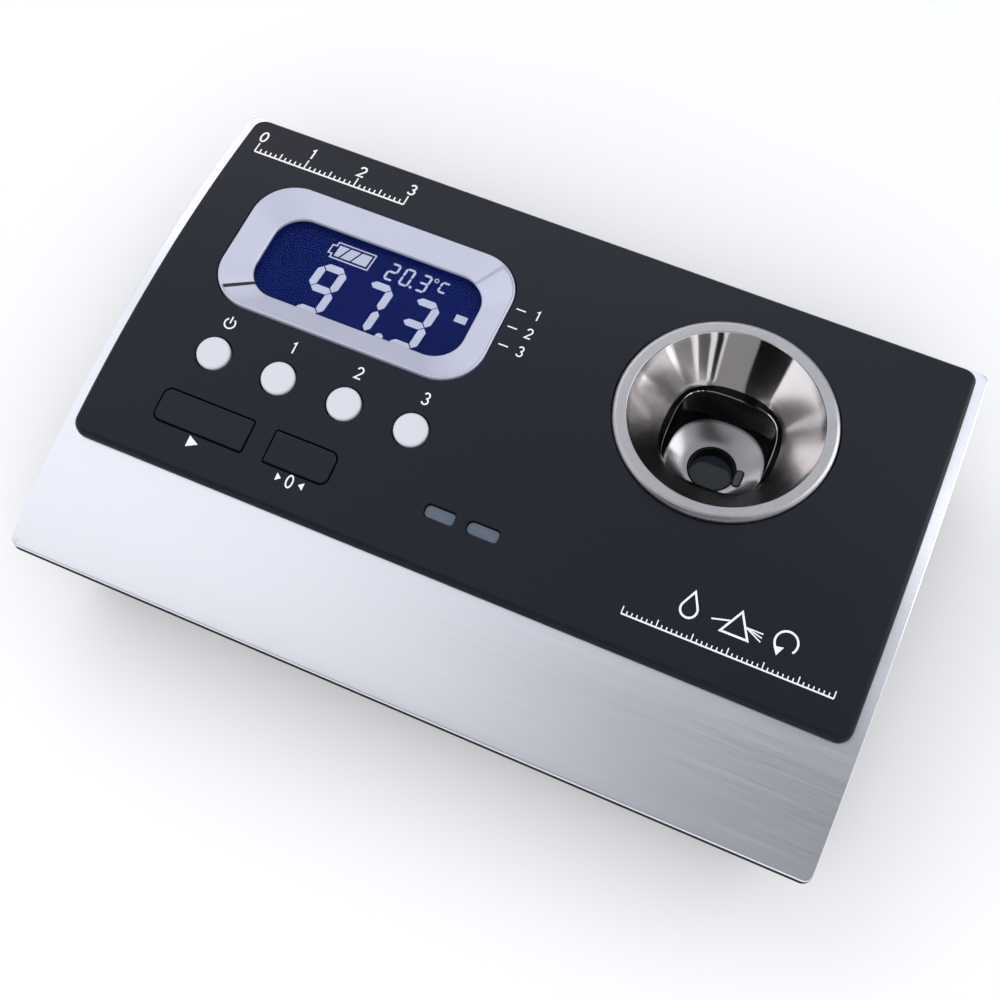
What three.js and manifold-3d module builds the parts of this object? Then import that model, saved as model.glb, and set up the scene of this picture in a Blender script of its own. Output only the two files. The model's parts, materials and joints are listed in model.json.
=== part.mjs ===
// Portable bench-top refracto-polarimeter: an arched steel sheet and a black control panel on a low tapered
// case, with a display, six keys and a sample well over a measuring prism.
// Millimetres. +X is to the right, +Y to the back, +Z up. The origin is on the bench, under the middle.

import * as THREE from 'three';
import { mergeVertices } from 'three/addons/utils/BufferGeometryUtils.js';
import Module from 'manifold-3d';

const wasm = await Module();
wasm.setup();

// ---------------------------------------------------------------- driving dimensions

const GAP = 0.3; // space kept between pieces that rest on, or fit into, each other

// The top surfaces are arcs about one axis along X. ARCH is the control panel's own top surface.
const ARCH = { radius: 225, y: 12.8, top: 39.3 };
const SHEET = { width: 170, depth: 109.6, corner: 3.5, below: 2.5, thick: 1.2 };
const PANEL = { width: 164.4, depth: 81.6, y: 11.3, corner: 4, lip: 3.2, plug: 4 };
const WINDOW = { width: PANEL.width - 2 * PANEL.lip + 2 * GAP, depth: PANEL.depth - 2 * PANEL.lip + 2 * GAP };

const CASE = {
  width: SHEET.width + 0.8,
  depth: SHEET.depth + 0.8,
  corner: 3.9,
  wall: 2.4,
  floorLow: 1.5, // underside of the case
  floorHigh: 3.5,
  chamferTop: 4, // the short bottom chamfer ends here and the tapered wall starts
  taperTop: 24, // the wall is upright above this height
  taperInset: 6.5,
  chamferInset: 8.5,
};
const CASE_TOP = ARCH.radius - SHEET.below - SHEET.thick - GAP; // arc radius of the case's top edge

const FOOT = { radius: 5, high: 1.2, x: 66, front: -40, back: 36 };
const SCREW = { x: 73, front: -20.5, back: 42.5, shaft: 1.2, head: 2.3, headLow: 1.9, headHigh: 4, high: 19 };
const PILLAR_TOP = 12.7;

// Key deck: one plane through both rows of keys. Heights are along its normal, from the panel's surface.
const DECK_Y = -11.95;
const ROW = 6.8; // each row's distance from the middle of the deck
const KEY = { flangeHigh: -4.6, flangeLow: -5.6, radius: 3.55, roundProud: 0.65, flatProud: 0.15 };
const ROUND_KEYS = { first: -61.7, pitch: 14.8, names: ['power_key', 'angle_key', 'brix_key', 'user_key'] };
const FLAT_KEYS = [
  { name: 'start_key', x: -57.1, width: 20, left: 1.6, right: 0.4 },
  { name: 'zero_key', x: -35.2, width: 13.7, left: 0.4, right: 1.6 },
];
const FLAT_KEY_DEPTH = 6.9;
const SWITCH = { size: 6, bodyHigh: -7.6, bodyLow: -10.7, plunger: 1.6, plungerHigh: -6.4 };
const KEY_BOARD = { x: -29.5, width: 79, depth: 26, high: -11, low: -12.4 };
const LENS = { depth: 2.6, drop: 0.6, low: -4.4, row: -7.05 };
const LENSES = [
  { name: 'indicator_lens_left', x: -4.8, width: 6.2 },
  { name: 'indicator_lens_right', x: 4.4, width: 6.6 },
];
const BUZZER = { x: 2, row: 4, radius: 5, high: -12.7, low: -17.2 };

// Display: a frame of four slopes over a window, the liquid-crystal glass, its backlight and the main board.
const DISPLAY = { x: -40.5, y: 22.6, width: 60.2, depth: 32.2, corner: 9.5 };
const BEZEL = { high: 0, land: 0.5, slopeLow: -2.3, rebate: -2.8, low: -4.3 };
const VIEW = { width: 47.9, depth: 20.7, corner: 6.5 };
const GLASS = { width: 53.4, depth: 26.4, corner: 1.5 };
const MAIN_BOARD = { width: 57, depth: 35, row: 2.5, high: -9.8, low: -11.2 };

// Sample well, downwards from the panel's surface. A ring's half is its half-width.
const WELL = { x: 39.2, y: 21.6, sides: 40 };
const FUNNEL = { ring: 22.7, proud: 0.4, ringLow: -2.6, cone: 19.8, coneHigh: 0.1 };
const MOUTH = { half: 11.5, high: -9.7, low: -10.5, wall: 1.8 };
const GASKET = { inner: 11.1, outer: 12.9, high: -10.8, low: -11.6 };
const LINER = { inner: 11.5, outer: 14.5, high: -11.9, low: -24.9 };
const DISH = { edge: 11.4, high: -25.2, bottom: 6, bottomAt: -26.6, low: -28.2 };
const PRISM = { radius: 4, high: -26.9, collarLow: -28.8, low: -33, topHalf: 3.7, lowHalf: 1.6, width: 5.6 };
const SEAL = { inner: 4.3, outer: 5.1, high: -26, low: -28 };
const SENSOR_PILL = { x: 6.95, width: 1.7, depth: 4, high: -25.7, low: -28 };
const ROUND = 2; // power of the outline that is a circle
const SQUARISH = 4; // power of the outline that is a square with large round corners
const CELL_WINDOW = { radius: 4.2, inner: 12.9, outer: 14.3, aperture: 3.4 };

// Light paths, in the well's own frame: the polarimeter's runs across the well, the other under the prism.
const BEAM = -18; // height of the beam that crosses the well
const SOURCE = { tube: 5.8, bore: 4.7, optic: 4.4, near: 14.9, far: 36 };
const GEAR = { module: 0.6, teeth: 28, near: -15.2, far: -18.2, bore: 4.5, hub: 5.6, hubFar: -22.6 };
const PINION = { teeth: 10, near: -15, far: -18.4, shaft: 0.8, shaftFar: -23 };
const CENTRES = (GEAR.module * (GEAR.teeth + PINION.teeth)) / 2; // gear to pinion
const BRACKET = { near: -20, far: -23, left: -20, right: 9, high: -8.5, low: -35.2, shaftHole: 1.1 };
const MOTOR = { radius: 7.2, near: -23.3, far: -32.3 };
const DETECTOR = { radius: 3.4, near: -25.5, far: -28.5 };
const BLOCK = { half: 19, side: 7.5, high: -28.5, low: -35 };
const TUNNEL = { half: 16.5, side: 4.6, low: -33.6, beam: -31 };

// Battery bay, open underneath, and the door that slides in grooves across it.
const BAY = { left: -75, right: -22.5, half: 11.7, high: 14.8, roof: 16.3, outerHalf: 14.6, outerRight: -21 };
const DOOR = { wideHalf: 12.7, narrowHalf: 11.4, grooveLow: 2.2, plateLow: 2.5, plateHigh: 3.2 };
const CELL = { radius: 5.1, length: 44.2, nub: 1.9, nubLength: 0.9, y: 5.6, z: 9.0, negativeX: -69.3 };

const X_AXIS = new THREE.Vector3(1, 0, 0);
const Y_AXIS = new THREE.Vector3(0, 1, 0);
const Z_AXIS = new THREE.Vector3(0, 0, 1);

// ---------------------------------------------------------------- finishes

const finish = (color, roughness, metalness = 0) => () =>
  new THREE.MeshStandardMaterial({ color, roughness, metalness });

const brushedSteel = finish(0xbfc1c8, 0.35, 1);
const polishedSteel = finish(0xc9c9cc, 0.08, 1);
const blackSatin = finish(0x26282f, 0.45);
const blackMatte = finish(0x17181a, 0.7);
const blackGloss = finish(0x0b0b0c, 0.12);
const silverSatin = finish(0xd5d7e3, 0.4, 0.4);
const clear = finish(0xc8d0d8, 0.05);
const displayBlue = finish(0x192560, 0.3);
const lensGrey = finish(0x70808c, 0.3);
const rubber = finish(0x1a1a1a, 0.9);
const boardGreen = finish(0x1f5c3a, 0.6);
const white = finish(0xe8e8e4, 0.5);
const brass = finish(0xb8964f, 0.35, 1);

// ---------------------------------------------------------------- solids

// The library's solid from a closed geometry.
function solid(geometry) {
  const bare = geometry.clone();
  bare.deleteAttribute('normal');
  bare.deleteAttribute('uv');
  const merged = mergeVertices(bare, 1e-4);
  return new wasm.Manifold(
    new wasm.Mesh({
      numProp: 3,
      vertProperties: Float32Array.from(merged.attributes.position.array),
      triVerts: Uint32Array.from(merged.index.array),
    }),
  );
}

function geometryOf(body) {
  const mesh = body.getMesh();
  const geometry = new THREE.BufferGeometry();
  geometry.setAttribute('position', new THREE.BufferAttribute(mesh.vertProperties, 3));
  geometry.setIndex(new THREE.BufferAttribute(mesh.triVerts, 1));
  geometry.computeVertexNormals();
  return geometry;
}

const joined = (...pieces) => pieces.map(solid).reduce((sum, piece) => sum.add(piece));

function cut(body, ...tools) {
  return geometryOf(tools.reduce((left, tool) => left.subtract(solid(tool)), body));
}

// A rounded rectangle, centred, whose left and right corners may differ.
function roundedRect(width, depth, left, right = left) {
  const x = width / 2;
  const y = depth / 2;
  const shape = new THREE.Shape();
  shape.absarc(x - right, right - y, right, -Math.PI / 2, 0);
  shape.absarc(x - right, y - right, right, 0, Math.PI / 2);
  shape.absarc(left - x, y - left, left, Math.PI / 2, Math.PI);
  shape.absarc(left - x, left - y, left, Math.PI, Math.PI * 1.5);
  return shape;
}

// An outline drawn from above, as a slab from one height to another.
function slab(shape, low, high, curveSegments = 4) {
  const settings = { depth: high - low, bevelEnabled: false, curveSegments };
  return new THREE.ExtrudeGeometry(shape, settings).translate(0, 0, low);
}

// An outline drawn in the Y-Z plane, run along X.
function alongX(shape, left, right, curveSegments = 4) {
  const turn = new THREE.Matrix4().makeBasis(Y_AXIS, Z_AXIS, X_AXIS);
  return slab(shape, 0, right - left, curveSegments).applyMatrix4(turn).translate(left, 0, 0);
}

const box = (left, right, front, back, low, high) =>
  new THREE.BoxGeometry(right - left, back - front, high - low).translate(
    (left + right) / 2,
    (front + back) / 2,
    (low + high) / 2,
  );

// A disc or drum about Z.
const disc = (radius, low, high, segments = 20) =>
  new THREE.CylinderGeometry(radius, radius, high - low, segments)
    .rotateX(Math.PI / 2)
    .translate(0, 0, (low + high) / 2);

// The same about X.
const discX = (radius, left, right, segments = 20) =>
  new THREE.CylinderGeometry(radius, radius, right - left, segments)
    .rotateZ(-Math.PI / 2)
    .translate((left + right) / 2, 0, 0);

// A turned solid about X: each profile point is [radius, x].
const turnedX = (profile, segments = 16) =>
  new THREE.LatheGeometry(profile.map(([r, x]) => new THREE.Vector2(r, x)), segments).rotateZ(-Math.PI / 2);

// Level outline of a rounded rectangle, for loft().
function rectRing(width, depth, corner, steps = 5) {
  const corners = [[1, -1, -0.5], [1, 1, 0], [-1, 1, 0.5], [-1, -1, 1]];
  return corners.flatMap(([sideX, sideY, start]) =>
    Array.from({ length: steps + 1 }, (_, i) => {
      const angle = Math.PI * (start + (0.5 * i) / steps);
      return new THREE.Vector2(
        sideX * (width / 2 - corner) + corner * Math.cos(angle),
        sideY * (depth / 2 - corner) + corner * Math.sin(angle),
      );
    }),
  );
}

// Level outline between a circle (ROUND) and a round-cornered square (SQUARISH), for loft().
function wellRing(half, power, count = WELL.sides) {
  return Array.from({ length: count }, (_, i) => {
    const angle = (2 * Math.PI * i) / count;
    const c = Math.cos(angle);
    const s = Math.sin(angle);
    const reach = half / (Math.abs(c) ** power + Math.abs(s) ** power) ** (1 / power);
    return new THREE.Vector2(reach * c, reach * s);
  });
}

// A closed solid through level outlines [points, z] with the same number of points, lowest first.
function loft(...levels) {
  const count = levels[0][0].length;
  const top = (levels.length - 1) * count;
  const position = levels.flatMap(([points, z]) => points.flatMap((p) => [p.x, p.y, z]));
  const index = [];
  for (let start = 0; start < top; start += count) {
    for (let i = 0; i < count; i += 1) {
      const here = start + i;
      const next = start + ((i + 1) % count);
      index.push(here, next, next + count, here, next + count, here + count);
    }
  }
  for (let i = 1; i < count - 1; i += 1) {
    index.push(0, i + 1, i, top, top + i, top + i + 1);
  }
  const geometry = new THREE.BufferGeometry();
  geometry.setAttribute('position', new THREE.Float32BufferAttribute(position, 3));
  geometry.setIndex(index);
  return geometry;
}

const wellLoft = (...levels) => loft(...levels.map(([half, power, z]) => [wellRing(half, power), z]));

// Everything under an arc of the given radius about the arch's axis.
function underArch(radius) {
  const reach = 60;
  const shape = new THREE.Shape();
  const backAngle = Math.acos((reach - ARCH.y) / radius);
  const frontAngle = Math.acos((-reach - ARCH.y) / radius);
  shape.moveTo(-reach, -10);
  shape.lineTo(reach, -10);
  shape.absarc(ARCH.y, ARCH.top - ARCH.radius, radius, backAngle, frontAngle);
  return alongX(shape, -100, 100, 10);
}

// ---------------------------------------------------------------- the assembly and its tilted groups

const instrument = new THREE.Group();

// A group whose origin is on the panel's surface and whose Z is that surface's normal.
function groupOnArch(x, y) {
  const group = new THREE.Group();
  const lean = Math.asin((ARCH.y - y) / ARCH.radius);
  group.position.set(x, y, ARCH.top - ARCH.radius + ARCH.radius * Math.cos(lean));
  group.rotation.x = lean;
  instrument.add(group);
  group.updateMatrixWorld();
  return group;
}

const deck = groupOnArch(0, DECK_Y);
const display = groupOnArch(DISPLAY.x, DISPLAY.y);
const well = groupOnArch(WELL.x, WELL.y);

function add(name, geometry, material, parent = instrument) {
  const mesh = new THREE.Mesh(geometry, material());
  mesh.name = name;
  parent.add(mesh);
  return mesh;
}

// ---------------------------------------------------------------- top plate and control panel

function addTopPlate() {
  const sheetTop = ARCH.radius - SHEET.below;
  const blank = solid(slab(roundedRect(SHEET.width, SHEET.depth, SHEET.corner), 0, 50));
  const opening = slab(roundedRect(WINDOW.width, WINDOW.depth, 3), -5, 50).translate(0, PANEL.y, 0);
  const sheet = blank.intersect(solid(underArch(sheetTop)));
  add('top_plate', cut(sheet, underArch(sheetTop - SHEET.thick), opening), brushedSteel);
}

function screwPlaces() {
  return [-1, 1].flatMap((side) => [
    { name: `case_screw_front_${side < 0 ? 'left' : 'right'}`, x: side * SCREW.x, y: SCREW.front },
    { name: `case_screw_back_${side < 0 ? 'left' : 'right'}`, x: side * SCREW.x, y: SCREW.back },
  ]);
}

// Holes through the panel for the display, the well, the keys and the indicator lenses.
function panelHoles() {
  const inDisplay = slab(
    roundedRect(DISPLAY.width + 2 * GAP, DISPLAY.depth + 2 * GAP, DISPLAY.corner + GAP),
    -8,
    8,
  ).applyMatrix4(display.matrixWorld);
  const inWell = disc(FUNNEL.ring + GAP, -8, 8, WELL.sides).applyMatrix4(well.matrixWorld);
  const round = ROUND_KEYS.names.map((_, i) =>
    disc(KEY.radius + GAP, -8, 8).translate(ROUND_KEYS.first + i * ROUND_KEYS.pitch, ROW, 0),
  );
  const flat = FLAT_KEYS.map(({ x, width, left, right }) =>
    slab(
      roundedRect(width + 2 * GAP, FLAT_KEY_DEPTH + 2 * GAP, left + GAP, right + GAP),
      -8,
      8,
    ).translate(x, -ROW, 0),
  );
  const lenses = LENSES.map(({ x, width }) =>
    slab(roundedRect(width + 2 * GAP, LENS.depth + 2 * GAP, 1.1), -8, 8).translate(x, LENS.row, 0),
  );
  const inDeck = [...round, ...flat, ...lenses].map((hole) => hole.applyMatrix4(deck.matrixWorld));
  return [inDisplay, inWell, ...inDeck];
}

function addControlPanel() {
  const under = (radius) => solid(underArch(radius));
  const coverBlank = slab(roundedRect(PANEL.width, PANEL.depth, PANEL.corner), 0, 50);
  const cover = solid(coverBlank.translate(0, PANEL.y, 0));
  const lip = cover.intersect(under(ARCH.radius)).subtract(under(ARCH.radius - SHEET.below + GAP));
  const plugBlank = slab(
    roundedRect(WINDOW.width - 2 * GAP, WINDOW.depth - 2 * GAP, 2.7),
    0,
    50,
  ).translate(0, PANEL.y, 0);
  const plug = solid(plugBlank)
    .intersect(under(ARCH.radius - 1))
    .subtract(under(ARCH.radius - PANEL.plug));
  const bossTop = ARCH.radius - PANEL.plug + 1;
  const bosses = screwPlaces().map(({ x, y }) =>
    solid(disc(3.2, PILLAR_TOP + GAP, 45, 12).translate(x, y, 0)).intersect(under(bossTop)),
  );
  const whole = bosses.reduce((sum, boss) => sum.add(boss), lip.add(plug));
  const screwHoles = screwPlaces().map(({ x, y }) =>
    disc(SCREW.shaft + GAP, 5, SCREW.high + 1, 8).translate(x, y, 0),
  );
  add('control_panel', cut(whole, ...panelHoles(), ...screwHoles), blackSatin);
}

// ---------------------------------------------------------------- display

function addDisplay() {
  const { width, depth, corner } = DISPLAY;
  const frame = solid(slab(roundedRect(width, depth, corner), BEZEL.low, BEZEL.high));
  const slope = loft(
    [rectRing(VIEW.width, VIEW.depth, VIEW.corner), BEZEL.slopeLow],
    [rectRing(width - 2 * BEZEL.land, depth - 2 * BEZEL.land, corner - BEZEL.land), BEZEL.high + 0.01],
  );
  const view = slab(roundedRect(VIEW.width, VIEW.depth, VIEW.corner), -9, -1);
  const rebateWidth = GLASS.width + 2 * GAP;
  const rebateDepth = GLASS.depth + 2 * GAP;
  const rebate = slab(roundedRect(rebateWidth, rebateDepth, GLASS.corner + GAP), -9, BEZEL.rebate);
  add('display_bezel', cut(frame, slope, view, rebate), silverSatin, display);

  // Under the bezel, each layer a gap below the last.
  const layers = [
    ['display_window', 1, clear],
    ['lcd_glass', 1.8, displayBlue],
    ['lcd_backlight', 3, white],
  ];
  let high = BEZEL.rebate - GAP;
  for (const [name, thick, material] of layers) {
    const sheet = slab(roundedRect(GLASS.width, GLASS.depth, GLASS.corner), high - thick, high);
    add(name, sheet, material, display);
    high -= thick + GAP;
  }
  const { width: w, depth: d, row, high: boardHigh, low } = MAIN_BOARD;
  add('main_board', box(-w / 2, w / 2, row - d / 2, row + d / 2, low, boardHigh), boardGreen, display);
}

// ---------------------------------------------------------------- keys

// A push switch and the key over it: the key's travel and a little more is left between them.
function addSwitch(name, x, row) {
  const half = SWITCH.size / 2;
  const body = box(-half, half, -half, half, SWITCH.bodyLow, SWITCH.bodyHigh);
  const plunger = disc(SWITCH.plunger, SWITCH.bodyHigh - 0.5, SWITCH.plungerHigh, 10);
  const geometry = geometryOf(joined(body, plunger)).translate(x, row, 0);
  add(name.replace('_key', '_switch'), geometry, blackMatte, deck);
}

function addRoundKey(name, x) {
  const r = KEY.radius;
  const top = KEY.roundProud;
  const profile = [
    [0, KEY.flangeLow],
    [r + 1.2, KEY.flangeLow],
    [r + 1.2, KEY.flangeHigh],
    [r, KEY.flangeHigh],
    [r, top - 0.45],
    [r - 0.25, top - 0.2],
    [r - 1, top - 0.05],
    [0, top],
  ];
  const points = profile.map(([radius, z]) => new THREE.Vector2(radius, z));
  const geometry = new THREE.LatheGeometry(points, 20).rotateX(Math.PI / 2).translate(x, ROW, 0);
  add(name, geometry, silverSatin, deck);
  addSwitch(name, x, ROW);
}

function addFlatKey({ name, x, width, left, right }) {
  const flangeWidth = width + 1.6;
  const flangeDepth = FLAT_KEY_DEPTH + 1.6;
  const cap = slab(roundedRect(width, FLAT_KEY_DEPTH, left, right), KEY.flangeLow + 0.2, KEY.flatProud);
  const flange = slab(roundedRect(flangeWidth, flangeDepth, 1), KEY.flangeLow, KEY.flangeHigh);
  add(name, geometryOf(joined(cap, flange)).translate(x, -ROW, 0), blackSatin, deck);
  addSwitch(name, x, -ROW);
}

function addLens({ name, x, width }) {
  const geometry = slab(roundedRect(width, LENS.depth, 0.9), LENS.low, -LENS.drop - 0.1);
  add(name, geometry.translate(x, LENS.row, 0), lensGrey, deck);
}

function addKeyDeck() {
  ROUND_KEYS.names.forEach((name, i) => addRoundKey(name, ROUND_KEYS.first + i * ROUND_KEYS.pitch));
  FLAT_KEYS.forEach(addFlatKey);
  LENSES.forEach(addLens);
  const { x, width, depth, high, low } = KEY_BOARD;
  add('key_board', box(x - width / 2, x + width / 2, -depth / 2, depth / 2, low, high), boardGreen, deck);
  const buzzer = disc(BUZZER.radius, BUZZER.low, BUZZER.high).translate(BUZZER.x, BUZZER.row, 0);
  add('buzzer', buzzer, blackMatte, deck);
}

// ---------------------------------------------------------------- sample well

function addFunnel() {
  const rim = disc(FUNNEL.ring, FUNNEL.ringLow, FUNNEL.proud, WELL.sides);
  const shell = wellLoft(
    [MOUTH.half + MOUTH.wall, SQUARISH, MOUTH.low],
    [FUNNEL.ring - 1.2, ROUND, FUNNEL.ringLow + 0.2],
  );
  const cone = wellLoft(
    [MOUTH.half, SQUARISH, MOUTH.low - 1],
    [MOUTH.half, SQUARISH, MOUTH.high],
    [FUNNEL.cone, ROUND, FUNNEL.coneHigh],
    [FUNNEL.cone + 0.2, ROUND, FUNNEL.proud + 0.01],
  );
  add('well_funnel', cut(joined(rim, shell), cone), polishedSteel, well);
}

function addGasket() {
  const { inner, outer, high, low } = GASKET;
  const ring = solid(wellLoft([outer, SQUARISH, low], [outer, SQUARISH, high]));
  const hole = wellLoft([inner, SQUARISH, low - 1], [inner, SQUARISH, high + 1]);
  add('well_gasket', cut(ring, hole), rubber, well);
}

// The well's dark wall, with a stepped hole left and right for the windows that the beam crosses.
function addLiner() {
  const { inner, outer, high, low } = LINER;
  const wall = solid(wellLoft([outer, SQUARISH, low], [outer, SQUARISH, high]));
  const hollow = wellLoft([inner, SQUARISH, low - 1], [inner, SQUARISH, high + 1]);
  const aperture = discX(CELL_WINDOW.aperture, -20, 20, 16).translate(0, 0, BEAM);
  const seat = (left, right) => discX(CELL_WINDOW.radius + GAP, left, right).translate(0, 0, BEAM);
  const near = CELL_WINDOW.inner - GAP;
  add('well_liner', cut(wall, hollow, aperture, seat(near, 20), seat(-20, -near)), blackGloss, well);

  for (const [name, side] of [['left', -1], ['right', 1]]) {
    const ends = [side * CELL_WINDOW.inner, side * CELL_WINDOW.outer].sort((a, b) => a - b);
    const window = discX(CELL_WINDOW.radius, ...ends).translate(0, 0, BEAM);
    add(`cell_window_${name}`, window, clear, well);
  }
}

function addWellFloor() {
  const plate = solid(wellLoft([LINER.outer, SQUARISH, DISH.low], [LINER.outer, SQUARISH, DISH.high]));
  const dish = wellLoft([DISH.bottom, ROUND, DISH.bottomAt], [DISH.edge, SQUARISH, DISH.high + 0.01]);
  const hole = disc(SEAL.outer + GAP, DISH.low - 1, DISH.high, 24);
  const { x, width, depth, high, low } = SENSOR_PILL;
  const pillHole = slab(roundedRect(width + 2 * GAP, depth + 2 * GAP, width / 2), low - 1, -24);
  add('well_floor', cut(plate, dish, hole, pillHole.translate(x, 0, 0)), polishedSteel, well);
  const pill = slab(roundedRect(width, depth, width / 2 - 0.01), low, high).translate(x, 0, 0);
  add('temperature_sensor', pill, blackSatin, well);
}

function addPrism() {
  const section = new THREE.Shape();
  section.moveTo(-PRISM.lowHalf, PRISM.low);
  section.lineTo(PRISM.lowHalf, PRISM.low);
  section.lineTo(PRISM.topHalf, PRISM.collarLow + 0.5);
  section.lineTo(-PRISM.topHalf, PRISM.collarLow + 0.5);
  const body = slab(section, -PRISM.width / 2, PRISM.width / 2).rotateX(Math.PI / 2);
  const collar = disc(PRISM.radius, PRISM.collarLow, PRISM.high, 24);
  add('measuring_prism', geometryOf(joined(body, collar)), clear, well);

  const seal = solid(disc(SEAL.outer, SEAL.low, SEAL.high, 24));
  add('prism_seal', cut(seal, disc(SEAL.inner, SEAL.low - 1, SEAL.high + 1, 24)), rubber, well);
}

// ---------------------------------------------------------------- refractometer optics, under the prism

function addRefractometer() {
  const { half, side, high, low } = BLOCK;
  const block = solid(box(-half, half, -side, side, low, high));
  const tunnel = box(-TUNNEL.half, TUNNEL.half, -TUNNEL.side, TUNNEL.side, TUNNEL.low, high + 1);
  add('optics_block', cut(block, tunnel), blackMatte, well);
  add('refractometer_led', discX(1.9, -15.8, -11, 12).translate(0, 0, TUNNEL.beam), white, well);
  add('image_sensor', box(14.2, 15.8, -4, 4, TUNNEL.low + 0.4, high - 0.4), boardGreen, well);
}

// ---------------------------------------------------------------- polarimeter optics, across the well

// The outline of a spur gear, with a tooth (or, with a half-pitch phase, a gap) towards +X.
function gearShape(teeth, phase) {
  const { module } = GEAR;
  const pitch = (2 * Math.PI) / teeth;
  const root = (module * teeth) / 2 - 1.25 * module;
  const tip = root + 2.05 * module;
  const flank = [[root, 0.32], [tip, 0.11]]; // radius, and half the tooth's thickness in pitches
  const corners = [...flank.map(([r, t]) => [r, -t]), ...flank.reverse()];
  const shape = new THREE.Shape();
  const points = Array.from({ length: teeth }, (_, tooth) =>
    corners.map(([r, t]) => {
      const angle = pitch * (tooth + phase + t);
      return new THREE.Vector2(r * Math.cos(angle), r * Math.sin(angle));
    }),
  ).flat();
  shape.setFromPoints(points);
  return shape;
}

// The pinion lies towards -Y of the gear. The gear has an even number of teeth, so one of them points there,
// and the pinion's half-pitch phase puts a gap towards +Y to receive it.
const gearBody = (teeth, phase, near, far) => alongX(gearShape(teeth, phase), far, near);

function addAnalyser() {
  const hub = discX(GEAR.hub, GEAR.hubFar, GEAR.far + 0.2, 24);
  const holder = joined(gearBody(GEAR.teeth, 0, GEAR.near, GEAR.far), hub);
  const bore = discX(GEAR.bore, GEAR.hubFar - 1, GEAR.near + 1, 24);
  add('analyser_gear', cut(holder, bore).translate(0, 0, BEAM), white, well);
  add('analyser_film', discX(GEAR.bore - GAP, -17, -16).translate(0, 0, BEAM), blackGloss, well);
}

function addDrive() {
  const teeth = gearBody(PINION.teeth, 0.5, PINION.near, PINION.far);
  const shaft = discX(PINION.shaft, PINION.shaftFar, PINION.far + 0.2, 8);
  add('motor_pinion', geometryOf(joined(teeth, shaft)).translate(0, -CENTRES, BEAM), brass, well);

  const can = discX(MOTOR.radius, MOTOR.far, MOTOR.near);
  const terminals = box(MOTOR.far + 1, MOTOR.near - 2, -3, 3, 6, 9);
  add('stepper_motor', geometryOf(joined(can, terminals)).translate(0, -CENTRES, BEAM), brushedSteel, well);

  const { near, far, left, right, high, low, shaftHole } = BRACKET;
  const plate = solid(box(far, near, left, right, low, high));
  const bearing = discX(GEAR.hub + GAP, far - 1, near + 1, 24).translate(0, 0, BEAM);
  const shaftWay = discX(shaftHole, far - 1, near + 1, 10).translate(0, -CENTRES, BEAM);
  add('drive_bracket', cut(plate, bearing, shaftWay), blackMatte, well);
}

// The tube right of the well, seen from the well: polariser, collimating lens, light source.
function addSource() {
  const tube = solid(discX(SOURCE.tube, SOURCE.near, SOURCE.far));
  const bore = discX(SOURCE.bore, SOURCE.near - 1, SOURCE.far + 1);
  add('source_tube', cut(tube, bore).translate(0, 0, BEAM), blackMatte, well);
  add('polariser', discX(SOURCE.optic, 16, 17, 16).translate(0, 0, BEAM), blackGloss, well);
  const lens = turnedX([[0, 21], [2.6, 21.4], [4.4, 22.4], [4.4, 23.4], [2.6, 24.4], [0, 24.8]]);
  add('collimating_lens', lens.translate(0, 0, BEAM), clear, well);
  const lamp = turnedX([[0, 30], [1.5, 30.4], [2.4, 31.6], [2.4, 34], [4.4, 34], [4.4, 35.6], [0, 35.6]]);
  add('source_led', lamp.translate(0, 0, BEAM), white, well);

  const cell = discX(DETECTOR.radius, DETECTOR.far, DETECTOR.near, 16);
  const board = box(DETECTOR.far - 1, DETECTOR.far + 0.2, -3.5, 3.5, -4.5, 4.5);
  add('photodiode', geometryOf(joined(cell, board)).translate(0, 0, BEAM), boardGreen, well);
}

// ---------------------------------------------------------------- lower case

// The case's outer form, before its top is cut to the arch.
function caseBlank() {
  const { width, depth, corner } = CASE;
  const level = (inset, radius, z) => [rectRing(width - 2 * inset, depth - 2 * inset, radius), z];
  return loft(
    level(CASE.chamferInset, 5, CASE.floorLow),
    level(CASE.taperInset, 5, CASE.chamferTop),
    level(0, corner, CASE.taperTop),
    level(0, corner, 50),
  );
}

function caseHollow() {
  const level = (inset, z) => [rectRing(CASE.width - 2 * inset, CASE.depth - 2 * inset, 2.5), z];
  return loft(
    level(CASE.taperInset + CASE.wall + 0.2, CASE.floorHigh),
    level(CASE.wall, CASE.taperTop),
    level(CASE.wall, 55),
  );
}

// The slot that the door runs in: wide above, narrow below, and open at the case's left side.
function doorSlot() {
  const right = BAY.right;
  return [
    box(-100, right, -DOOR.wideHalf - GAP, DOOR.wideHalf + GAP, DOOR.grooveLow, CASE.floorHigh),
    box(-100, right, -DOOR.narrowHalf - GAP, DOOR.narrowHalf + GAP, 0, DOOR.grooveLow + 0.1),
  ];
}

function addLowerCase() {
  const outer = solid(caseBlank()).intersect(solid(underArch(CASE_TOP)));
  const bayBlock = box(-82, BAY.outerRight, -BAY.outerHalf, BAY.outerHalf, CASE.floorLow, BAY.roof);
  const bayShell = solid(bayBlock).intersect(outer);
  const pillars = screwPlaces().map(({ x, y }) =>
    solid(disc(3.6, CASE.floorLow, PILLAR_TOP, 12).translate(x, y, 0)).intersect(outer),
  );
  const shell = outer.subtract(solid(caseHollow()));
  const whole = [bayShell, ...pillars].reduce((sum, piece) => sum.add(piece), shell);
  const bay = box(BAY.left, BAY.right, -BAY.half, BAY.half, 0, BAY.high);
  const screwHoles = screwPlaces().flatMap(({ x, y }) => [
    disc(SCREW.shaft + GAP, 0, 30, 8).translate(x, y, 0),
    disc(SCREW.head + GAP, 0, SCREW.headHigh + GAP, 16).translate(x, y, 0),
  ]);
  add('lower_case', cut(whole, bay, ...doorSlot(), ...screwHoles), blackMatte);
}

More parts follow.
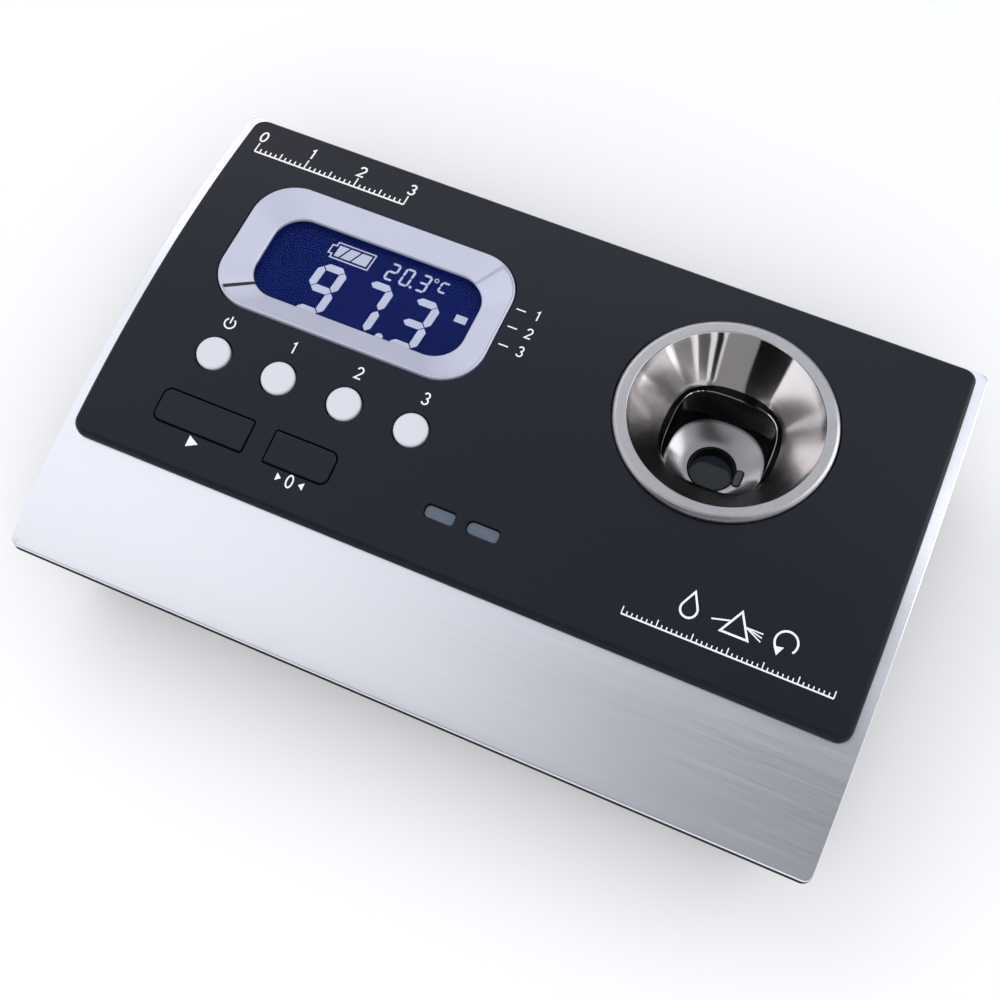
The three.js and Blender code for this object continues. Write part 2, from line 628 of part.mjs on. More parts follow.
function addFeetAndScrews() {
  for (const [end, y] of [['front', FOOT.front], ['back', FOOT.back]]) {
    for (const [side, x] of [['left', -FOOT.x], ['right', FOOT.x]]) {
      add(`foot_${end}_${side}`, disc(FOOT.radius, 0, FOOT.high).translate(x, y, 0), rubber);
    }
  }
  for (const { name, x, y } of screwPlaces()) {
    const head = disc(SCREW.head, SCREW.headLow, SCREW.headHigh, 16);
    const shaft = disc(SCREW.shaft, SCREW.headHigh - 0.2, SCREW.high, 8);
    const recess = disc(1.2, 0, SCREW.headLow + 1.1, 6); // the driver's socket
    add(name, cut(joined(head, shaft), recess).translate(x, y, 0), brushedSteel);
  }
}

// ---------------------------------------------------------------- batteries

function addDoor() {
  const right = BAY.right - GAP;
  const plate = box(-100, right, -DOOR.wideHalf, DOOR.wideHalf, DOOR.plateLow, DOOR.plateHigh);
  const face = box(-100, right, -DOOR.narrowHalf, DOOR.narrowHalf, CASE.floorLow, DOOR.plateLow + 0.1);
  const door = joined(plate, face).intersect(solid(caseBlank()));
  add('battery_door', geometryOf(door), blackMatte);
}

class Coil extends THREE.Curve {
  constructor(radius, length, turns) {
    super();
    Object.assign(this, { radius, length, turns });
  }

  getPoint(t, target = new THREE.Vector3()) {
    const angle = 2 * Math.PI * this.turns * t;
    return target.set(this.length * t, this.radius * Math.cos(angle), this.radius * Math.sin(angle));
  }
}

function addCells() {
  const { radius, length, nub, nubLength, y, z, negativeX } = CELL;
  const positiveX = negativeX + length;
  const profile = [[0, 0], [radius, 0], [radius, length - nubLength], [nub, length - nubLength]];
  const cell = turnedX([...profile, [nub, length], [0, length]]);
  add('battery_front', cell.clone().translate(negativeX, -y, z), brass);
  add('battery_back', cell.clone().rotateZ(Math.PI).translate(positiveX, y, z), brass);

  // Left end: a coil on the front cell, a flat plate on the back one. Right end: one bridge for both.
  const wire = new THREE.Shape().absarc(0, 0, 0.35, 0, 2 * Math.PI);
  const coilEnd = negativeX - 0.8;
  const path = new Coil(3, coilEnd - BAY.left - 0.8, 3);
  const coil = new THREE.ExtrudeGeometry(wire, { steps: 24, curveSegments: 3, extrudePath: path });
  add('contact_spring', coil.translate(BAY.left + 0.8, -y, z), brushedSteel);
  add('contact_plate', box(negativeX - 1, negativeX - GAP, y - 3.5, y + 3.5, z - 4, z + 4), brushedSteel);
  add('contact_bridge', box(BAY.right - 1, BAY.right - GAP, -y - 4, y + 4, z - 4, z + 4), brushedSteel);
}

// ---------------------------------------------------------------- build

addTopPlate();
addControlPanel();
addDisplay();
addKeyDeck();
addFunnel();
addGasket();
addLiner();
addWellFloor();
addPrism();
addRefractometer();
addAnalyser();
addDrive();
addSource();
addLowerCase();
addFeetAndScrews();
addDoor();
addCells();

export default instrument;
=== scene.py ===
"""Looks of the bench-top refracto-polarimeter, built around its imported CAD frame.

Everything is in metres in the CAD's own frame: +X to the right, +Y to the back, +Z up, with the origin on the
bench. Lengths below are written in millimetres times MM.
"""

import json
import math

import bpy
import numpy as np
from mathutils import Matrix, Vector
from mathutils.geometry import delaunay_2d_cdt


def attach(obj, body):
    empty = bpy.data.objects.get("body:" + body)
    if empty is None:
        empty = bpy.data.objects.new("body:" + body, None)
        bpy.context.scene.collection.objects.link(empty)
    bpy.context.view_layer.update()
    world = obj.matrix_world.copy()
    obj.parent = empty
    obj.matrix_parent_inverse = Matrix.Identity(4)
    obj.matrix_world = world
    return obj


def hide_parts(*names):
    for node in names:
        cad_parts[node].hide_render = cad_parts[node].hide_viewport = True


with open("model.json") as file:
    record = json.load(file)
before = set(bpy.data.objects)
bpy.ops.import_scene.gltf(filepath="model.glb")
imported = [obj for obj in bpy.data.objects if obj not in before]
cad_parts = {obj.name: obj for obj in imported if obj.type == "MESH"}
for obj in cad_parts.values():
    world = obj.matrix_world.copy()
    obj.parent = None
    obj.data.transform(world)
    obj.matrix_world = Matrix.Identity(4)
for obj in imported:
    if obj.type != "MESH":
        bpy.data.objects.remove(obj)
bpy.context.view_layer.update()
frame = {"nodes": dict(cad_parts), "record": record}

# ---------------------------------------------------------------- driving dimensions

MM = 0.001
GAP = 0.3 * MM  # space that the CAD leaves between pieces that touch
ARC_STEP = 3 * MM  # longest edge of an outline that follows the arch
GRID_STEP = 4 * MM  # spacing of the points inside a face that follows the arch

# The panel's top is an arc about an axis along X. The sheet's top is lower by SHEET_BELOW.
ARCH_RADIUS = 225 * MM
ARCH_Y = 12.8 * MM
ARCH_TOP = 39.3 * MM
SHEET_BELOW = 2.5 * MM
SHEET_THICK = 1.2 * MM
PANEL_OVER = {"front": 0.8 * MM, "back": 1.2 * MM, "right": 0.4 * MM}  # how far it reaches past its CAD node
PLUG_LOW = 4 * MM  # underside of the part of the panel that drops through the sheet
CORNER = {"sheet": 1.6 * MM, "panel": 2.8 * MM, "display": 9.5 * MM, "view": 6.5 * MM, "case": 2 * MM}

# Middles of the three tilted groups: the key deck, the display and the sample well.
DECK_AT = (0, -11.95 * MM)
DISPLAY_AT = (-40.5 * MM, 22.6 * MM)
WELL_AT = (39.2 * MM, 21.6 * MM)

# The bezel's opening, and the two angles about its middle between which its slope is sunk.
VIEW = (47.9 * MM, 20.7 * MM)
STEP_FRONT = -154
STEP_RIGHT = 30
STEP_DEPTH = 0.5 * MM
SLANT = math.tan(math.radians(5))  # lean of the display's digits

# Keys and lenses. The flat ones have a corner radius for the left and one for the right.
ROUND_KEYS = ["power_key", "angle_key", "brix_key", "user_key"]
ROUND_KEY_RADIUS = 3.55 * MM
FLANGE_ROUND = 1.2 * MM  # how far a key's hidden flange stands out
FLANGE_FLAT = 0.8 * MM
FLANGE_THICK = 1 * MM
FLAT_KEYS = [("start_key", 1.6 * MM, 0.4 * MM), ("zero_key", 0.4 * MM, 1.6 * MM)]
LENSES = [("indicator_lens_left", 1.1 * MM, 0.8 * MM), ("indicator_lens_right", 1.25 * MM, 0.9 * MM)]

# The well: half-widths and heights in its own frame. A power of 2 makes an outline round, a higher squarish.
ROUND = 2
SQUARISH = 3.4
CONE_HALF = 19.7 * MM
MOUTH_HALF = 12.1 * MM
MOUTH_POWER = 2.45
MOUTH_LOW = -9.05 * MM
LIP = 10.9 * MM  # the bright lip under the cone
MOUTH_WALL = 2.4 * MM
DISH_HALF = 10.2 * MM
DISH_POWER = 2.4
DISH_LOW = -26.4 * MM
FLOOR_SHIFT = (0, 0.8 * MM, 3.8 * MM)  # the floor's place against its CAD node
FRONT_RISE = 1.3 * MM  # how much higher the dish's front edge is
PIT_Y = -0.7 * MM  # the prism's pit is this far in front of the dish's middle

# The lower case, whose wall tapers in and ends in a chamfer.
CASE_WALL = 2.4 * MM
CASE_MARGIN = 0.25 * MM  # how far the case stays inside its CAD node
CHAMFER_INSET = 8.5 * MM
TAPER_INSET = 6.5 * MM
CHAMFER_TOP = 4 * MM
TAPER_TOP = 24 * MM
FLOOR_HIGH = 3.5 * MM
RIM_BELOW = 4 * MM  # the rim is this far under the panel's top surface
BAY = {"left": -75 * MM, "right": -22.5 * MM, "half": 11.7 * MM, "high": 14.8 * MM}
BAY_WALL = {"left": -76.6 * MM, "right": -21 * MM, "half": 14.6 * MM, "high": 16.3 * MM}
DOOR_HALF = 11.4 * MM  # the door's face, between the lips that hold its wider plate
DOOR_GROOVE = 2.2 * MM
SIDES = [f"{end}_{side}" for end in ("front", "back") for side in ("left", "right")]

# Cards seen in the cone, round the well: bearing, width in degrees, brightness.
CONE_CARDS = [
    (-158, 60, 1.0), (-111, 34, 0.0), (-80, 28, 0.26), (-59, 6, 0.0), (-53, 4, 0.85), (-44, 12, 0.1),
    (-36, 4, 1.0), (-23, 18, 0.22), (-10, 5, 1.5), (6, 24, 0.75), (34, 32, 3.2), (66, 30, 0.25),
    (108, 46, 0.12), (151, 38, 0.4),
]
CARD_DISTANCE = 0.9
FRONT_CARD = (30, 0.95)  # elevation in degrees, and height
BACK_CARD = (12, 0.36)
BACK_FROM = 50  # bearing where the cards at the back start


# ---------------------------------------------------------------- places


def arch_height(y, below=0.0):
    """Height of the surface that lies `below` under the panel's top."""
    radius = ARCH_RADIUS - below
    return ARCH_TOP - ARCH_RADIUS + math.sqrt(radius**2 - (y - ARCH_Y) ** 2)


def on_arch(x, y):
    """Frame whose origin is on the panel's top and whose Z is that surface's normal."""
    lean = math.asin((ARCH_Y - y) / ARCH_RADIUS)
    return Matrix.Translation((x, y, arch_height(y))) @ Matrix.Rotation(lean, 4, "X")


LEVEL = Matrix.Identity(4)
DECK = on_arch(*DECK_AT)
DISPLAY = on_arch(*DISPLAY_AT)
WELL = on_arch(*WELL_AT)
WELL_FLOOR = WELL @ Matrix.Translation(FLOOR_SHIFT)
PIT = WELL_FLOOR @ Matrix.Translation((0, PIT_Y, 0))


class Extent:
    """Lowest and highest corner of a CAD node in one of the frames above."""

    def __init__(self, node, place=LEVEL):
        inverse = place.inverted()
        points = np.array([inverse @ v.co for v in frame["nodes"][node].data.vertices])
        self.low = Vector(points.min(0))
        self.high = Vector(points.max(0))
        self.middle = (self.low + self.high) / 2
        self.size = self.high - self.low

    def rect(self, grow, left, right=None):
        """Rounded rectangle about the node's middle, larger than the node by `grow`."""
        draw = rounded_rect(self.size.x + grow, self.size.y + grow, left, right)
        return moved(draw, self.middle.x, self.middle.y)

    def circle(self, radius, steps=48):
        """Circle about the node's middle."""
        return moved(circle(radius, steps), self.middle.x, self.middle.y)


def drop_to_arch(place, u, v):
    """Point of the panel's top that is straight above or below (u, v) of a tilted frame."""
    normal = place.col[2].to_3d()
    start = place @ Vector((u, v, 0))
    y = start.y - ARCH_Y
    z = start.z - (ARCH_TOP - ARCH_RADIUS)
    half = y * normal.y + z * normal.z
    rest = y * y + z * z - ARCH_RADIUS**2
    across = normal.y**2 + normal.z**2
    return start + normal * ((math.sqrt(half * half - across * rest) - half) / across)


# ---------------------------------------------------------------- outlines
# An outline is a function that gives its points, anticlockwise, moved in by an inset.


def rounded_rect(width, depth, left, right=None, steps=8):
    """Rectangle whose left and right corners may differ in radius."""
    right = left if right is None else right
    corners = [(1, -1, right, -90), (1, 1, right, 0), (-1, 1, left, 90), (-1, -1, left, 180)]

    def draw(inset):
        points = []
        for side_x, side_y, radius, start in corners:
            r = max(radius - inset, 0.04 * MM)
            centre = Vector((side_x * (width / 2 - inset - r), side_y * (depth / 2 - inset - r)))
            points += [centre + p for p in bow(r, r, start, start + 90, steps)]
        return points

    return draw


def bow(rx, ry, start, end, steps=12):
    """Points along part of an ellipse about the origin, between two angles in degrees."""
    angles = [math.radians(start + (end - start) * i / steps) for i in range(steps + 1)]
    return [Vector((rx * math.cos(a), ry * math.sin(a))) for a in angles]


def squircle(half, power, steps=96):
    """Outline between a circle and a round-cornered square."""

    def draw(inset):
        points = []
        for way in bow(1, 1, 0, 360, steps)[:-1]:
            reach = (half - inset) / (abs(way.x) ** power + abs(way.y) ** power) ** (1 / power)
            points.append(way * reach)
        return points

    return draw


def circle(radius, steps=64):
    return squircle(radius, ROUND, steps)


def dense(draw, longest=ARC_STEP):
    """The same outline with its long edges divided alike at every inset, for a surface that bends."""
    base = draw(0)
    ahead = base[1:] + base[:1]
    counts = [max(1, math.ceil((b - a).length / longest)) for a, b in zip(base, ahead)]

    def draw_dense(inset):
        corners = draw(inset)
        nexts = corners[1:] + corners[:1]
        return [a.lerp(b, i / n) for a, b, n in zip(corners, nexts, counts) for i in range(n)]

    return draw_dense


def moved(draw, x, y):
    """The same outline somewhere else."""
    return lambda inset: [p + Vector((x, y)) for p in draw(inset)]


def rounding(radius, steps=4):
    """(inset, depth) pairs of a rounded edge, from the wall to the face."""
    angles = [math.pi / 2 * i / steps for i in range(steps + 1)]
    return [(radius * (1 - math.cos(a)), radius * (1 - math.sin(a))) for a in angles]


# ---------------------------------------------------------------- meshes


class Shell:
    """Points and faces of one piece. A ring is a closed loop of points, anticlockwise seen from above."""

    def __init__(self, place=LEVEL):
        self.place = place
        self.points = []
        self.faces = []

    def ring(self, points):
        first = len(self.points)
        self.points += [self.place @ Vector(p) for p in points]
        return list(range(first, len(self.points)))

    def level(self, draw, inset, z):
        """A ring of an outline at one height."""
        return self.ring([(p.x, p.y, z) for p in draw(inset)])

    def arched(self, draw, inset, below):
        """A ring of an outline that lies `below` under the panel's top surface."""
        return self.ring([(p.x, p.y, arch_height(p.y, below)) for p in draw(inset)])

    def wall(self, low, high):
        """Faces between two rings, facing out where `high` is above `low`."""
        for i in range(len(low)):
            j = (i + 1) % len(low)
            self.faces.append((low[i], low[j], high[j], high[i]))

    def walls(self, rings, closed=False):
        for low, high in zip(rings, rings[1:] + rings[:1] if closed else rings[1:]):
            self.wall(low, high)

    def cap(self, ring, up=True):
        self.faces.append(tuple(ring) if up else tuple(reversed(ring)))

    def solid(self, draw, profile):
        """A closed solid through (inset, z) levels of an outline, lowest first."""
        rings = [self.level(draw, inset, z) for inset, z in profile]
        self.walls(rings)
        self.cap(rings[0], up=False)
        self.cap(rings[-1])

    def slab(self, draw, low, high, edge):
        """A slab with rounded edges at the bottom and the top."""
        lower = [(inset, low + depth) for inset, depth in reversed(rounding(edge, 3))]
        upper = [(inset, high - depth) for inset, depth in rounding(edge, 3)]
        self.solid(draw, lower + upper)

    def tube(self, profile, power=ROUND, steps=96):
        """A closed solid with a hole through it, from (half-width, z) levels of a well outline."""
        rings = [self.level(squircle(half, power, steps), 0, z) for half, z in profile]
        self.walls(rings, closed=True)

    def fill(self, outer, holes, below, up=True, margin=1.2 * MM):
        """The arched face inside one ring and outside others, with a grid of points between them."""
        owners = list(outer) + [i for hole in holes for i in hole]
        loops = [[Vector(self.points[i][:2]) for i in ring] for ring in [outer, *holes]]
        edges = []
        start = 0
        for loop in loops:
            edges += [(start + i, start + (i + 1) % len(loop)) for i in range(len(loop))]
            start += len(loop)
        inner = grid_inside(loops, margin)
        owners += self.ring([(p.x, p.y, arch_height(p.y, below)) for p in inner])
        flat = [p for loop in loops for p in loop] + inner
        _, _, triangles, sources, _, _ = delaunay_2d_cdt(flat, edges, [], 0, 1e-9)
        triangles = [[sources[i][0] for i in triangle] for triangle in triangles]
        middles = np.array([sum((flat[i] for i in t), Vector((0, 0))) / 3 for t in triangles])
        for triangle, inside in zip(triangles, inside_loops(middles, loops)):
            if inside:
                a, b, c = (flat[i] for i in triangle)
                anticlockwise = (b - a).cross(c - a) > 0
                face = tuple(owners[i] for i in triangle)
                self.faces.append(face if anticlockwise == up else face[::-1])

    def mesh(self, name):
        data = bpy.data.meshes.new(name)
        data.from_pydata([tuple(p) for p in self.points], [], self.faces)
        data.validate()
        piece = bpy.data.objects.new(name, data)
        bpy.context.scene.collection.objects.link(piece)
        return piece


def inside_loops(points, loops):
    """Which points are inside the first loop and outside the others."""
    inside = np.zeros(len(points), bool)
    for loop in loops:
        a = np.array([tuple(p) for p in loop])
        for (ax, ay), (bx, by) in zip(a, np.roll(a, -1, axis=0)):
            crosses = (ay > points[:, 1]) != (by > points[:, 1])
            rise = by - ay if by != ay else 1.0
            inside ^= crosses & (points[:, 0] < ax + (points[:, 1] - ay) * (bx - ax) / rise)
    return inside


def grid_inside(loops, margin):
    """Grid points inside the first loop and outside the others, none nearer than the margin to an edge."""
    outer = np.array([tuple(p) for p in loops[0]])
    xs, ys = (np.arange(axis.min() + GRID_STEP / 2, axis.max(), GRID_STEP) for axis in outer.T)
    points = np.array([(x, y) for y in ys for x in xs])
    keep = inside_loops(points, loops)
    for loop in loops:
        a = np.array([tuple(p) for p in loop])
        for start, end in zip(a, np.roll(a, -1, axis=0)):
            along = end - start
            share = np.clip((points - start) @ along / max(along @ along, 1e-18), 0, 1)
            nearest = start + share[:, None] * along
            keep &= np.hypot(*(points - nearest).T) > margin
    return [Vector(p) for p in points[keep]]


def carve(piece, tools, operation="DIFFERENCE"):
    """Cuts tools from a piece, or joins them to it, and removes them."""
    for tool in tools:
        modifier = piece.modifiers.new("carve", "BOOLEAN")
        modifier.object = tool
        modifier.operation = operation
        modifier.solver = "EXACT"
    shaped = bpy.data.meshes.new_from_object(piece.evaluated_get(bpy.context.evaluated_depsgraph_get()))
    piece.modifiers.clear()
    old = piece.data
    piece.data = shaped
    bpy.data.meshes.remove(old)
    for tool in tools:
        bpy.data.objects.remove(tool)
    return piece


def finish(piece, material, node=None, body="case", angle=32):
    """Smooths a piece up to an angle in degrees, gives it its material and places it in the frame.

    It rides on the body, and stands for the CAD node.
    """
    for face in piece.data.polygons:
        face.use_smooth = True
    piece.data.set_sharp_from_angle(angle=math.radians(angle))
    piece.modifiers.new("even_normals", "WEIGHTED_NORMAL").keep_sharp = True
    piece.data.materials.clear()
    piece.data.materials.append(MATERIALS[material])
    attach(piece, body)
    if node:
        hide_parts(node)
    return piece


# ---------------------------------------------------------------- materials


class Finish:
    """A material of one Principled shader. Its patterns are noises, with sizes in millimetres."""

    def __init__(self, name, color, roughness, metallic=0.0, **sockets):
        self.material = bpy.data.materials.new(name)
        self.material.use_nodes = True
        self.tree = self.material.node_tree
        self.link = self.tree.links.new
        self.shader = self.tree.nodes["Principled BSDF"]
        self.name = name
        self.color = color
        self.roughness = roughness
        sockets.update(Base_Color=(*color, 1), Roughness=roughness, Metallic=metallic)
        for socket, value in sockets.items():
            self.shader.inputs[socket.replace("_", " ")].default_value = value

    def node(self, kind, **values):
        """A new node, with values for its sockets or settings."""
        made = self.tree.nodes.new(kind)
        for key, value in values.items():
            if key in made.inputs:
                made.inputs[key].default_value = value
            else:
                setattr(made, key, value)
        return made

    def noise(self, size, detail=3, stretch=(1, 1, 1), roughness=0.55):
        """Noise whose grains are about `size`, longer along an axis by its stretch."""
        place = self.node("ShaderNodeTexCoord")
        scale = self.node("ShaderNodeMapping", Scale=[1 / (size * MM * s) for s in stretch])
        texture = self.node("ShaderNodeTexNoise", Scale=1, Detail=detail, Roughness=roughness)
        self.link(place.outputs["Object"], scale.inputs["Vector"])
        self.link(scale.outputs["Vector"], texture.inputs["Vector"])
        return texture.outputs["Fac"]

    def span(self, value, low, high):
        """The value stretched from 0.3..0.7, where most of a noise lies, to low..high."""
        values = {"From Min": 0.3, "From Max": 0.7, "To Min": low, "To Max": high}
        node = self.node("ShaderNodeMapRange", **values)
        self.link(value, node.inputs["Value"])
        return node.outputs["Result"]

    def vary_color(self, value, dark, light, start=0.3, end=0.7):
        """Base colour between two tones, each a multiple of the finish's colour or a colour itself."""
        ramp = self.node("ShaderNodeValToRGB")
        for element, position, tone in zip(ramp.color_ramp.elements, (start, end), (dark, light)):
            element.position = position
            element.color = (*(tone if isinstance(tone, tuple) else [c * tone for c in self.color]), 1)
        self.link(value, ramp.inputs["Fac"])
        self.link(ramp.outputs["Color"], self.shader.inputs["Base Color"])

    def vary_roughness(self, value, low, high):
        """Roughness that runs between two multiples of the finish's own."""
        spread = self.span(value, self.roughness * low, self.roughness * high)
        self.link(spread, self.shader.inputs["Roughness"])

    def bump(self, height, distance):
        node = self.node("ShaderNodeBump", Strength=1, Distance=distance * MM)
        self.link(height, node.inputs["Height"])
        self.link(node.outputs["Normal"], self.shader.inputs["Normal"])


def surface(name, color, roughness, metallic=0.0, mottle=None, drift=None, grain=None, stretch=(1, 1, 1),
            **sockets):
    """A finish with up to three noises, each given by its size and detail, and then by what it does.

    mottle runs between two tones and is longer along an axis by stretch, drift runs between two multiples of
    the roughness, and grain is a relief of one depth.
    """
    made = Finish(name, color, roughness, metallic, **sockets)
    if mottle:
        size, detail, *tones = mottle
        made.vary_color(made.noise(size, detail, stretch), *tones)
    if drift:
        size, detail, *factors = drift
        made.vary_roughness(made.noise(size, detail), *factors)
    if grain:
        size, detail, depth = grain
        made.bump(made.noise(size, detail), depth)
    return made


def brushed(name, color, roughness, stretch, depth=0.002, **sockets):
    """Metal with long scratches along one axis, some of them deeper."""
    made = Finish(name, color, roughness, 1.0, **sockets)
    lines = made.node("ShaderNodeMath", operation="ADD")
    made.link(made.noise(0.14, 4, stretch, 0.7), lines.inputs[0])
    made.link(made.span(made.noise(1.1, 2, stretch), -0.05, 0.05), lines.inputs[1])
    made.vary_color(lines.outputs["Value"], 0.95, 1.04, 0.25, 0.75)
    made.vary_roughness(lines.outputs["Value"], 0.88, 1.14)
    made.bump(lines.outputs["Value"], depth)
    return made


def brushed_sheet():
    """The top sheet, brushed along X."""
    made = brushed("brushed_steel", (0.86, 0.89, 0.97), 0.33, (110, 1, 1), 0.0007, Anisotropic=0.5)
    along = made.node("ShaderNodeCombineXYZ", X=1)
    made.link(along.outputs["Vector"], made.shader.inputs["Tangent"])
    return made


def turned_steel():
    """The funnel's cone: turned steel, whose fine rings spread each reflection down the slope."""
    made = surface(
        "turned_steel", (0.83, 0.805, 0.815), 0.12, 1.0, (7, 3, 0.96, 1.04), (2.5, 5, 0.11 / 0.12, 0.13 / 0.12),
        Anisotropic=0.93, Anisotropic_Rotation=0.25,
    )
    round_axis = made.node("ShaderNodeTangent", direction_type="RADIAL", axis="Z")
    made.link(round_axis.outputs["Tangent"], made.shader.inputs["Tangent"])
    return made


# Moulded plastic or rubber: fine spark texture, with a slow drift of gloss.
MOULDED = {"mottle": (0.21, 3, 0.93, 1.06), "drift": (14, 3, 0.97, 1.05), "grain": (0.35, 1, 0.006)}
# The lower case is the same with a coarser texture.
COARSE = {**MOULDED, "mottle": (0.36, 3, 0.93, 1.06), "grain": (0.6, 1, 0.02)}
# The well's seals are smoother.
SEAL = {**MOULDED, "grain": (0.35, 1, 0.004), "Specular_IOR_Level": 0.3}
# Sprayed satin paint: soft orange peel over tiny flakes.
PAINTED = {"mottle": (0.12, 1, 0.95, 1.04), "drift": (4, 3, 0.9, 1.1), "grain": (0.9, 2, 0.004)}
# Smooth plastic, film or enamel with faint smears.
GLOSSY = {"mottle": (6, 3, 0.92, 1.08), "drift": (3, 4, 0.8, 1.3), "grain": (2, 2, 0.0008)}
# Clear sheet or optical glass. A low index stands for an anti-glare coating.
CLEAR = {"drift": (5, 4, 0.5, 1.8), "grain": (6, 3, 0.0004), "Transmission_Weight": 1}
# The display's blue field, lit from behind and unevenly.
BACKLIT = {
    "mottle": (14, 1, (0.0025, 0.007, 0.058), (0.0035, 0.009, 0.08)), "stretch": (1.6, 1, 1),
    "drift": (3, 3, 0.8, 1.2), "grain": (0.15, 1, 0.001),
    "Specular_IOR_Level": 0, "Emission_Color": (0.002, 0.008, 0.08, 1), "Emission_Strength": 0.45,
}
# Its pale segments.
SEGMENT = {
    "mottle": (5, 3, 0.94, 1.05), "grain": (0.15, 1, 0.001),
    "Emission_Color": (0.52, 0.56, 0.70, 1), "Emission_Strength": 0.15,
}
# Mirror-polished steel with faint wiping marks, and bead-blasted steel.
POLISHED = {
    "mottle": (7, 3, (0.71, 0.705, 0.705), (0.77, 0.765, 0.765)),
    "drift": (2.5, 5, 0.035 / 0.06, 0.085 / 0.06), "grain": (3, 2, 0.0015),
}
BLASTED = {
    "mottle": (0.5, 3, (0.455, 0.455, 0.485), (0.485, 0.485, 0.515)),
    "drift": (5, 3, 0.32 / 0.36, 0.42 / 0.36), "grain": (0.2, 2, 0.004),
}
# Circuit board: glossy solder mask over the faint mottle of the glass weave.
BOARD = {
    "mottle": (0.4, 1, (0.017, 0.105, 0.046), (0.023, 0.135, 0.056)),
    "drift": (2, 3, 0.8, 1.2), "grain": (0.4, 1, 0.003),
}
# A battery's plain sleeve: bronze film with a fine even flake.
SLEEVE = {
    "mottle": (0.12, 1, (0.38, 0.255, 0.11), (0.42, 0.285, 0.13)),
    "drift": (3, 3, 0.26 / 0.3, 0.34 / 0.3), "grain": (0.12, 1, 0.001),
}

# Name, kind, colour, roughness and what differs from the kind.
SURFACES = [
    ("black_panel", MOULDED, (0.0062, 0.0084, 0.0160), 0.42, {"Specular_IOR_Level": 0.21}),
    ("key_black", MOULDED, (0.00682, 0.00924, 0.0176), 0.46, {"Specular_IOR_Level": 0.21}),
    ("black_plastic", MOULDED, (0.014, 0.014, 0.015), 0.5, {}),
    ("white_plastic", MOULDED, (0.72, 0.72, 0.68), 0.42, {}),
    ("black_rubber", MOULDED, (0.010, 0.010, 0.011), 0.62, {"grain": (0.35, 1, 0.012)}),
    ("seal_rubber", SEAL, (0.005, 0.005, 0.006), 0.4, {}),
    ("case_black", COARSE, (0.0135, 0.014, 0.0165), 0.5, {}),
    ("silver_frame", PAINTED, (0.50, 0.52, 0.635), 0.40, {"metallic": 0.35}),
    ("silver_key", PAINTED, (0.575, 0.59, 0.65), 0.45, {}),
    ("white_ink", PAINTED, (0.82, 0.82, 0.84), 0.5, {}),
    ("prism_face", GLOSSY, (0.022, 0.029, 0.040), 0.06, {"Specular_IOR_Level": 0.35}),
    ("grey_lens", GLOSSY, (0.078, 0.102, 0.142), 0.3, {}),
    ("gloss_black", GLOSSY, (0.003, 0.003, 0.0035), 0.12, {"Specular_IOR_Level": 0.22}),
    ("grey_sensor", GLOSSY, (0.055, 0.06, 0.068), 0.25, {}),
    ("dark_film", GLOSSY, (0.018, 0.018, 0.026), 0.12, {}),
    ("clear_window", CLEAR, (0.97, 0.98, 1.0), 0.01, {"IOR": 1.1}),
    ("prism_glass", CLEAR, (0.55, 0.60, 0.66), 0.01, {"IOR": 1.6}),
    ("display_blue", BACKLIT, (0.003, 0.008, 0.07), 0.25, {}),
    ("display_segment", SEGMENT, (0.52, 0.56, 0.70), 0.35, {}),
    ("polished_steel", POLISHED, (0.74, 0.735, 0.735), 0.06, {"metallic": 1}),
    ("satin_ring", BLASTED, (0.47, 0.47, 0.50), 0.36, {"metallic": 1}),
    ("circuit_board", BOARD, (0.02, 0.12, 0.05), 0.35, {}),
    ("cell_sleeve", SLEEVE, (0.4, 0.27, 0.12), 0.3, {"metallic": 0.6}),
]
# Name, colour, roughness, how long the scratches are along each axis, and their depth.
BRUSHED = [
    ("dish_steel", (0.37, 0.37, 0.385), 0.22, (3, 3, 3), 0.0005),
    ("brass", (0.62, 0.44, 0.18), 0.3, (1, 6, 6)),
    ("motor_steel", (0.56, 0.56, 0.58), 0.32, (8, 1, 1)),
    ("screw_steel", (0.42, 0.42, 0.44), 0.3, (4, 1, 1)),
    ("contact_metal", (0.66, 0.64, 0.6), 0.28, (1, 8, 1)),
]


def make_materials():
    finishes = [brushed_sheet(), turned_steel()]
    finishes += [surface(name, color, rough, **{**kind, **own}) for name, kind, color, rough, own in SURFACES]
    finishes += [brushed(*row) for row in BRUSHED]
    return {made.name: made.material for made in finishes}


MATERIALS = make_materials()


# ---------------------------------------------------------------- printed marks


